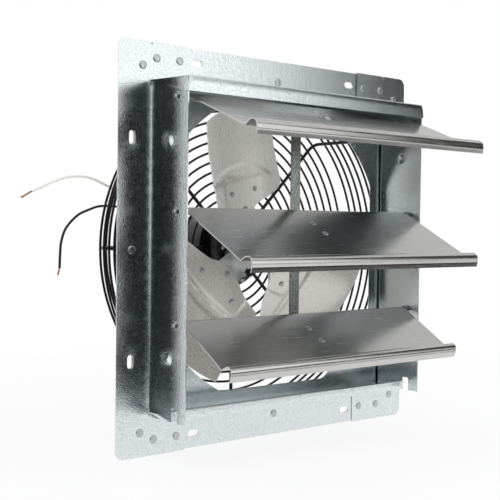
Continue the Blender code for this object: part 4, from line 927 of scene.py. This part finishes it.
def makeGuard():
    # Rings are circles of wire round the axis; each spoke runs out, bends through a
    # quarter circle and runs back to the flange.
    g = guard
    fused = g["gap"] + g["weld"]
    spokePlane = g["plane"] - g["wire"] - g["gap"] - g["spoke"]
    run = g["sideRadius"] - g["wire"] - g["gap"] - g["spoke"]
    centre = (run - g["bend"], spokePlane - g["bend"])
    reach = g["bend"] + g["spoke"] + g["gap"] + g["wire"]
    rings = [(g["first"] + g["pitch"] * index, g["plane"] - fused * (index == 0)) for index in range(g["faceRings"])]
    rings += [(g["sideRadius"], g["sideBack"] - g["sidePitch"] * index) for index in range(g["sideRings"])]
    rim = np.radians(g["rim"])
    rings.append((centre[0] + reach * np.cos(rim), centre[1] + reach * np.sin(rim)))
    shapes = []
    for radius, depth in rings:
        circle = circleLine(radius, 144)
        path = joined(circle[:, 0], depth, circle[:, 1])
        shapes.append(sweep(path, circleLine(g["wire"] + g["coat"], 10), (0, 1, 0), True))
    for index in range(g["spokes"]):
        shift = 0 if index else fused
        turn = 2 * pi * index / g["spokes"]
        bend = circleLine(g["bend"], 12, pi / 2, 0, False) + centre + shift
        start = (g["inner"] if index else g["firstInner"], spokePlane + shift)
        route = np.vstack([start, bend, (run + shift, g["end"])])
        path = joined(route[:, 0] * np.cos(turn), route[:, 1], route[:, 0] * np.sin(turn))
        sideways = (-np.sin(turn), 0, np.cos(turn))
        shapes.append(sweep(path, circleLine(g["spoke"], 14), sideways))
    addPiece("wireGuard", shapes, "frame", "guardBlack", ["wire_guard"])


clips = {"sheet": 1.2, "chamfer": 0.15, "width": 14.0, "corner": 2.5, "front": 3.9, "height": 16.0,
         "outer": 196.0, "bend": 1.4}


def makeClips():
    # A strip bent once, flat on the panel and up against the guard's spoke.
    c = clips
    inner = guard["sideRadius"] - guard["wire"] - guard["gap"] - 2 * guard["spoke"] - guard["gap"] - c["sheet"] / 2
    fold = foldLine([(c["outer"], c["front"] + c["sheet"] / 2), (inner, c["front"] + c["sheet"] / 2),
                     (inner, c["front"] + c["height"])], c["bend"])
    total, half = fold[1][-1], c["width"] / 2
    edge = rounded(box(0, -half, total, half), c["corner"], 5)
    rows = bendRows([c["outer"] - inner - c["bend"]], 5, 5, width=2.2)

    def place(flat):
        bent = readLine(fold, flat[:, 0])
        return joined(bent[:, 0], bent[:, 1], flat[:, 1])

    for index, where in enumerate(("right", "top", "left", "bottom")):
        shape = moved(cutSheet([edge], place, None, rows), Matrix.Rotation(-index * pi / 2, 4, "Y"))
        addPiece(f"{where}GuardClip", [shape], "frame", "zincPlate", [f"guard_clip_{where}"],
                 c["sheet"], c["chamfer"])


makeGuard()
makeClips()
print("guard made")

# Motor. Each bell's dish is the middle of its face, as (radius, depth) pairs.
motor = {"radius": 36.5, "front": 56.0, "back": 150.0, "bell": 10.0, "edge": 4.0, "wall": 2.5, "seam": 0.3,
         "step": 0.5, "bead": (0.5, 4.0, 1.6), "frontDish": [(6.0, 0), (12.0, 0), (14.0, 1.0)],
         "rearDish": [(0, 0), (13, 0), (15, 1.0)], "inside": 3.0, "plate": (36.8, 46.0, 79.35, 82.35),
         "plateEdge": 0.5, "lug": (45.5, 10.0, 2.0), "lugCorner": 3, "screw": (41.5, 22.5, 2.0, 3.6, 2.2),
         "bolt": (31.2, 1.6, 2.8, 1.8), "grommet": (130.0, 10.0, 4.2, 6.5, 2.2)}


def hexHead(centre, direction, radius, height):
    # A six-sided head with a chamfered top, closed underneath.
    levels = [(0, 0), (radius, 0), (radius, height * 0.75), (radius * 0.78, height), (0, height)]
    return turned(levels, 6, centre, direction)


def makeShell():
    # The rolled shell with a raised bead near each end, and four lugs on the mount plate.
    m = motor
    r, lugIn = m["radius"], m["radius"] - 1.2
    start, end = m["front"] + m["bell"] + m["seam"], m["back"] - m["bell"] - m["seam"]
    along = np.linspace(start, end, 60)
    high, inset, wide = m["bead"]
    bead = high * (np.exp(-((along - start - inset) / wide) ** 2) + np.exp(-((along - end + inset) / wide) ** 2))
    outer = joined(r - m["step"] + bead, along)
    shapes = [turned(np.concatenate([[(r - m["wall"], start)], outer, [(r - m["wall"], end)]]), 96, closed=True)]
    lugOut, lugWide, lugThick = m["lug"]
    half, y = lugWide / 2, m["plate"][3] + m["seam"]
    outline = rounded(box(lugIn, -half, lugOut, half), [0, m["lugCorner"], m["lugCorner"], 0])
    count = len(outline)
    points = np.concatenate([joined(outline[:, 0], y + step, outline[:, 1]) for step in (0, lugThick)])
    for index in range(4):
        turn = Matrix.Rotation(-np.radians(m["screw"][1]) - index * pi / 2, 4, "Y")
        shapes.append(moved((points, tubeFaces(2, count)), turn))
    addPiece("motorShell", shapes, "frame", "motorBlack", ["motor_shell"])


def makeBell(name, node, face, inward, dish):
    # Outside from the dish over the rolled edge, then back along the inside. The front
    # bell is open for the shaft.
    m = motor
    r, edge, wall, inside = m["radius"], m["edge"], m["wall"], m["inside"]
    rim = [(r - edge + x, edge - z) for x, z in circleLine(edge, 8, pi / 2, 0, False)]
    profile = dish + [(r - edge - 5, 1.0), (r - edge - 3.5, 0)] + rim
    profile += [(r, m["bell"]), (r - wall, m["bell"]), (r - wall, edge), (r - edge - 1, inside), (dish[0][0], inside)]
    shape = turned(profile, 96, (0, face, 0), (0, inward, 0), closed=inward > 0)
    addPiece(name, [shape], "frame", "motorBlack", [node])


def makeMount():
    # The ring under the lugs, four screws through both and four bolts through the bells.
    m = motor
    inner, outer, front, back = m["plate"]
    edge = m["plateEdge"]
    ring = [(inner, front), (outer - edge, front), (outer, front + edge), (outer, back - edge), (outer - edge, back),
            (inner, back)]
    addPiece("motorMountPlate", [turned(ring, 96, closed=True)], "frame", "guardBlack",
             ["motor_mount_plate"])
    circle, offset, shank, head, high = m["screw"]
    boltCircle, boltShank, boltHead, boltHigh = m["bolt"]
    lugBack = back + 2 * m["seam"] + m["lug"][2]
    for index in range(4):
        turn = np.radians(offset) + index * pi / 2
        x, z = circle * np.cos(turn), circle * np.sin(turn)
        stem = box(0, front, shank, back + 3)
        parts = [hexHead((x, lugBack, z), (0, 1, 0), head, high),
                 hexHead((x, front - m["seam"], z), (0, -1, 0), head, high), turned(stem, 18, (x, 0, z))]
        addPiece(f"motorMountScrew{index + 1}", parts, "frame", "zincPlate",
                 [f"motor_mount_screw_{index + 1}"], sharp=25)
        x, z = boltCircle * np.cos(index * pi / 2), boltCircle * np.sin(index * pi / 2)
        stem = box(0, m["front"], boltShank, m["back"])
        parts = [hexHead((x, m["back"] + m["seam"], z), (0, 1, 0), boltHead, boltHigh),
                 hexHead((x, m["front"] - m["seam"], z), (0, -1, 0), boltHead, boltHigh), turned(stem, 16, (x, 0, z))]
        addPiece(f"motorThroughBolt{index + 1}", parts, "frame", "groundSteel",
                 [f"motor_through_bolt_{index + 1}"], sharp=25)


def makeGrommet():
    # A moulded collar on the shell that the leads come out of.
    y, z, body, flange, high = motor["grommet"]
    face, inner = motor["radius"] + motor["seam"], motor["radius"] - 3.5
    profile = [(0, face + high), (flange - 1.2, face + high), (flange - 0.3, face + high - 0.5), (flange, face + 1.0),
               (flange - 0.3, face), (body, face), (body, inner), (0, inner)]
    addPiece("leadGrommet", [turned(profile, 32, (0, y, z), (-1, 0, 0))], "frame", "rubber",
             ["lead_grommet"])


makeShell()
makeBell("motorFrontBell", "motor_front_bell", motor["front"], 1, motor["frontDish"])
makeBell("motorRearBell", "motor_rear_bell", motor["back"], -1, motor["rearDish"])
makeMount()
makeGrommet()
print("motor made")

# CAD nodes that stay as they are, with their own finishes
carried = {"front_bearing": "groundSteel", "rear_bearing": "groundSteel", "stator_core": "laminations",
           "stator_windings": "windings", "rotor_core": "laminations", "hub_set_screw": "groundSteel"}
for node, finish in carried.items():
    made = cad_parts[node]
    made.data.materials.clear()
    made.data.materials.append(finishes[finish])

# Studio: a pale floor under a white background, four soft lamps that no mirror sees, and
# cards and mats that only mirrors see.
studio = {"floorZ": -0.2045, "floorReach": 12.0, "floorColour": "#e9ebec", "matLift": 0.004, "ambient": 0.42,
          "nearGlow": 0.88, "fade": (0.42, 1.0)}


def whiteSeen(tree):
    # 1 where the camera, a mirror or a glass looks straight at it, 0 for the soft light.
    path = addNode(tree, "LightPath", {}).outputs
    seen = addNode(tree, "Math", {0: path["Is Camera Ray"], 1: path["Is Glossy Ray"]}, operation="MAXIMUM")
    return addNode(tree, "Math", {0: seen.outputs[0], 1: path["Is Transmission Ray"]},
                   operation="MAXIMUM").outputs[0]


def addStudio():
    world = bpy.data.worlds.new("studio")
    bpy.context.scene.world = world
    world.use_nodes = True
    tree = world.node_tree
    back = tree.nodes["Background"]
    back.inputs["Color"].default_value = (1, 1, 1, 1)
    level = addNode(tree, "MapRange", {"Value": whiteSeen(tree), "To Min": studio["ambient"], "To Max": 1.0})
    feed(tree, back, Strength=level.outputs[0])

    # The floor glows white for the camera, a little less near the object, where the
    # shadow stays in view.
    floorMaterial, tree, shader, place = newMaterial("paintedFloor", studio["floorColour"], Roughness=0.7)
    far = addNode(tree, "VectorMath", {0: place}, operation="LENGTH").outputs["Value"]
    near, away = studio["fade"]
    glowing = addNode(tree, "MapRange", {"Value": far, "From Min": near, "From Max": away,
                                         "To Min": studio["nearGlow"], "To Max": 1.0},
                      interpolation_type="SMOOTHSTEP")
    share = addNode(tree, "Math", {0: whiteSeen(tree), 1: glowing.outputs[0]}, operation="MULTIPLY")
    glow = addNode(tree, "Emission", {"Color": "#ffffff", "Strength": 1.0})
    mixed = addNode(tree, "MixShader", {0: share.outputs[0], 1: shader.outputs[0], 2: glow.outputs[0]})
    feed(tree, tree.nodes["Material Output"], Surface=mixed.outputs[0])
    reach, height = studio["floorReach"], studio["floorZ"]
    addStage("floor", [(x, y, height) for x, y in box(-reach, -reach, reach, reach)], floorMaterial)


def addStage(name, corners, material):
    mesh = bpy.data.meshes.new(name)
    mesh.from_pydata(corners, [], [(0, 1, 2, 3)])
    mesh.materials.append(material)
    sheet = bpy.data.objects.new(name, mesh)
    bpy.context.scene.collection.objects.link(sheet)
    return sheet


# Metres and watts. The screen and the flag give the dark reflections of the left corner
# and the right wall, the softbox the bright patch low on the right wall, and the high card
# and the ceiling the paler sheet above.
lamps = {"key": {"place": (1.5, -1.3, 2.0), "size": 1.5, "watts": 24.0},
         "top": {"place": (-0.3, -0.2, 2.2), "size": 1.6, "watts": 18.0},
         "behind": {"place": (0.2, 2.2, 1.9), "size": 1.6, "watts": 12.0},
         "fill": {"place": (-0.75, -1.0, 0.12), "size": 0.7, "watts": 8.0}}
cards = {"screen": {"middle": (-0.984, -1.132, 0.1), "halfWidth": 0.60, "halfHeight": 0.60, "level": 0.0},
         "flag": {"middle": (1.54, -0.93, 0.62), "halfWidth": 0.52, "halfHeight": 0.55, "level": 0.0},
         "softbox": {"middle": (0.95, -1.60, 0.32), "halfWidth": 0.42, "halfHeight": 0.46, "level": 1.28},
         "highCard": {"middle": (1.45, -1.45, 1.62), "halfWidth": 0.95, "halfHeight": 0.55, "level": 0.75},
         "ceiling": {"middle": (1.70, 1.08, 1.55), "halfWidth": 1.5, "halfHeight": 1.2, "level": 0.70}}
# Black mats that the rolled edges mirror from below: left, right, near and far edge.
mats = ((-1.8, 2.0, -2.2, -0.34), (-1.8, -0.26, -0.34, -0.05))


def addLamps():
    for name, lamp in lamps.items():
        data = bpy.data.lights.new(name, "AREA")
        data.size, data.energy = lamp["size"], lamp["watts"]
        light = bpy.data.objects.new(name, data)
        light.location = lamp["place"]
        light.rotation_euler = (-Vector(lamp["place"])).to_track_quat("-Z", "Y").to_euler()
        light.visible_glossy = False
        bpy.context.scene.collection.objects.link(light)


def addMirrored(name, corners, level):
    # A black sheet, or a glowing one of that level, that mirrors alone see.
    material, tree = newMaterial(name, "#050606", Roughness=0.9)[:2]
    if level:
        glow = addNode(tree, "Emission", {"Color": "#ffffff", "Strength": level})
        feed(tree, tree.nodes["Material Output"], Surface=glow.outputs[0])
    sheet = addStage(name, corners, material)
    sheet.visible_camera = sheet.visible_diffuse = sheet.visible_shadow = False


def addCards():
    # Each card is square to the object, upright and centred on its middle.
    for name, card in cards.items():
        middle = np.array(card["middle"])
        away = middle / np.linalg.norm(middle)
        sideways = np.array([-away[1], away[0], 0]) / np.hypot(*away[:2])
        wide, high = sideways * card["halfWidth"], np.cross(away, sideways) * card["halfHeight"]
        corners = [middle - wide - high, middle + wide - high, middle + wide + high, middle - wide + high]
        addMirrored(name, corners, card["level"])
    height = studio["floorZ"] + studio["matLift"]
    for number, (left, right, near, far) in enumerate(mats):
        addMirrored(f"mat{number + 1}", [(x, y, height) for x, y in box(left, near, right, far)], 0.0)


addStudio()
addLamps()
addCards()
bpy.context.scene.view_settings.view_transform = "Standard"
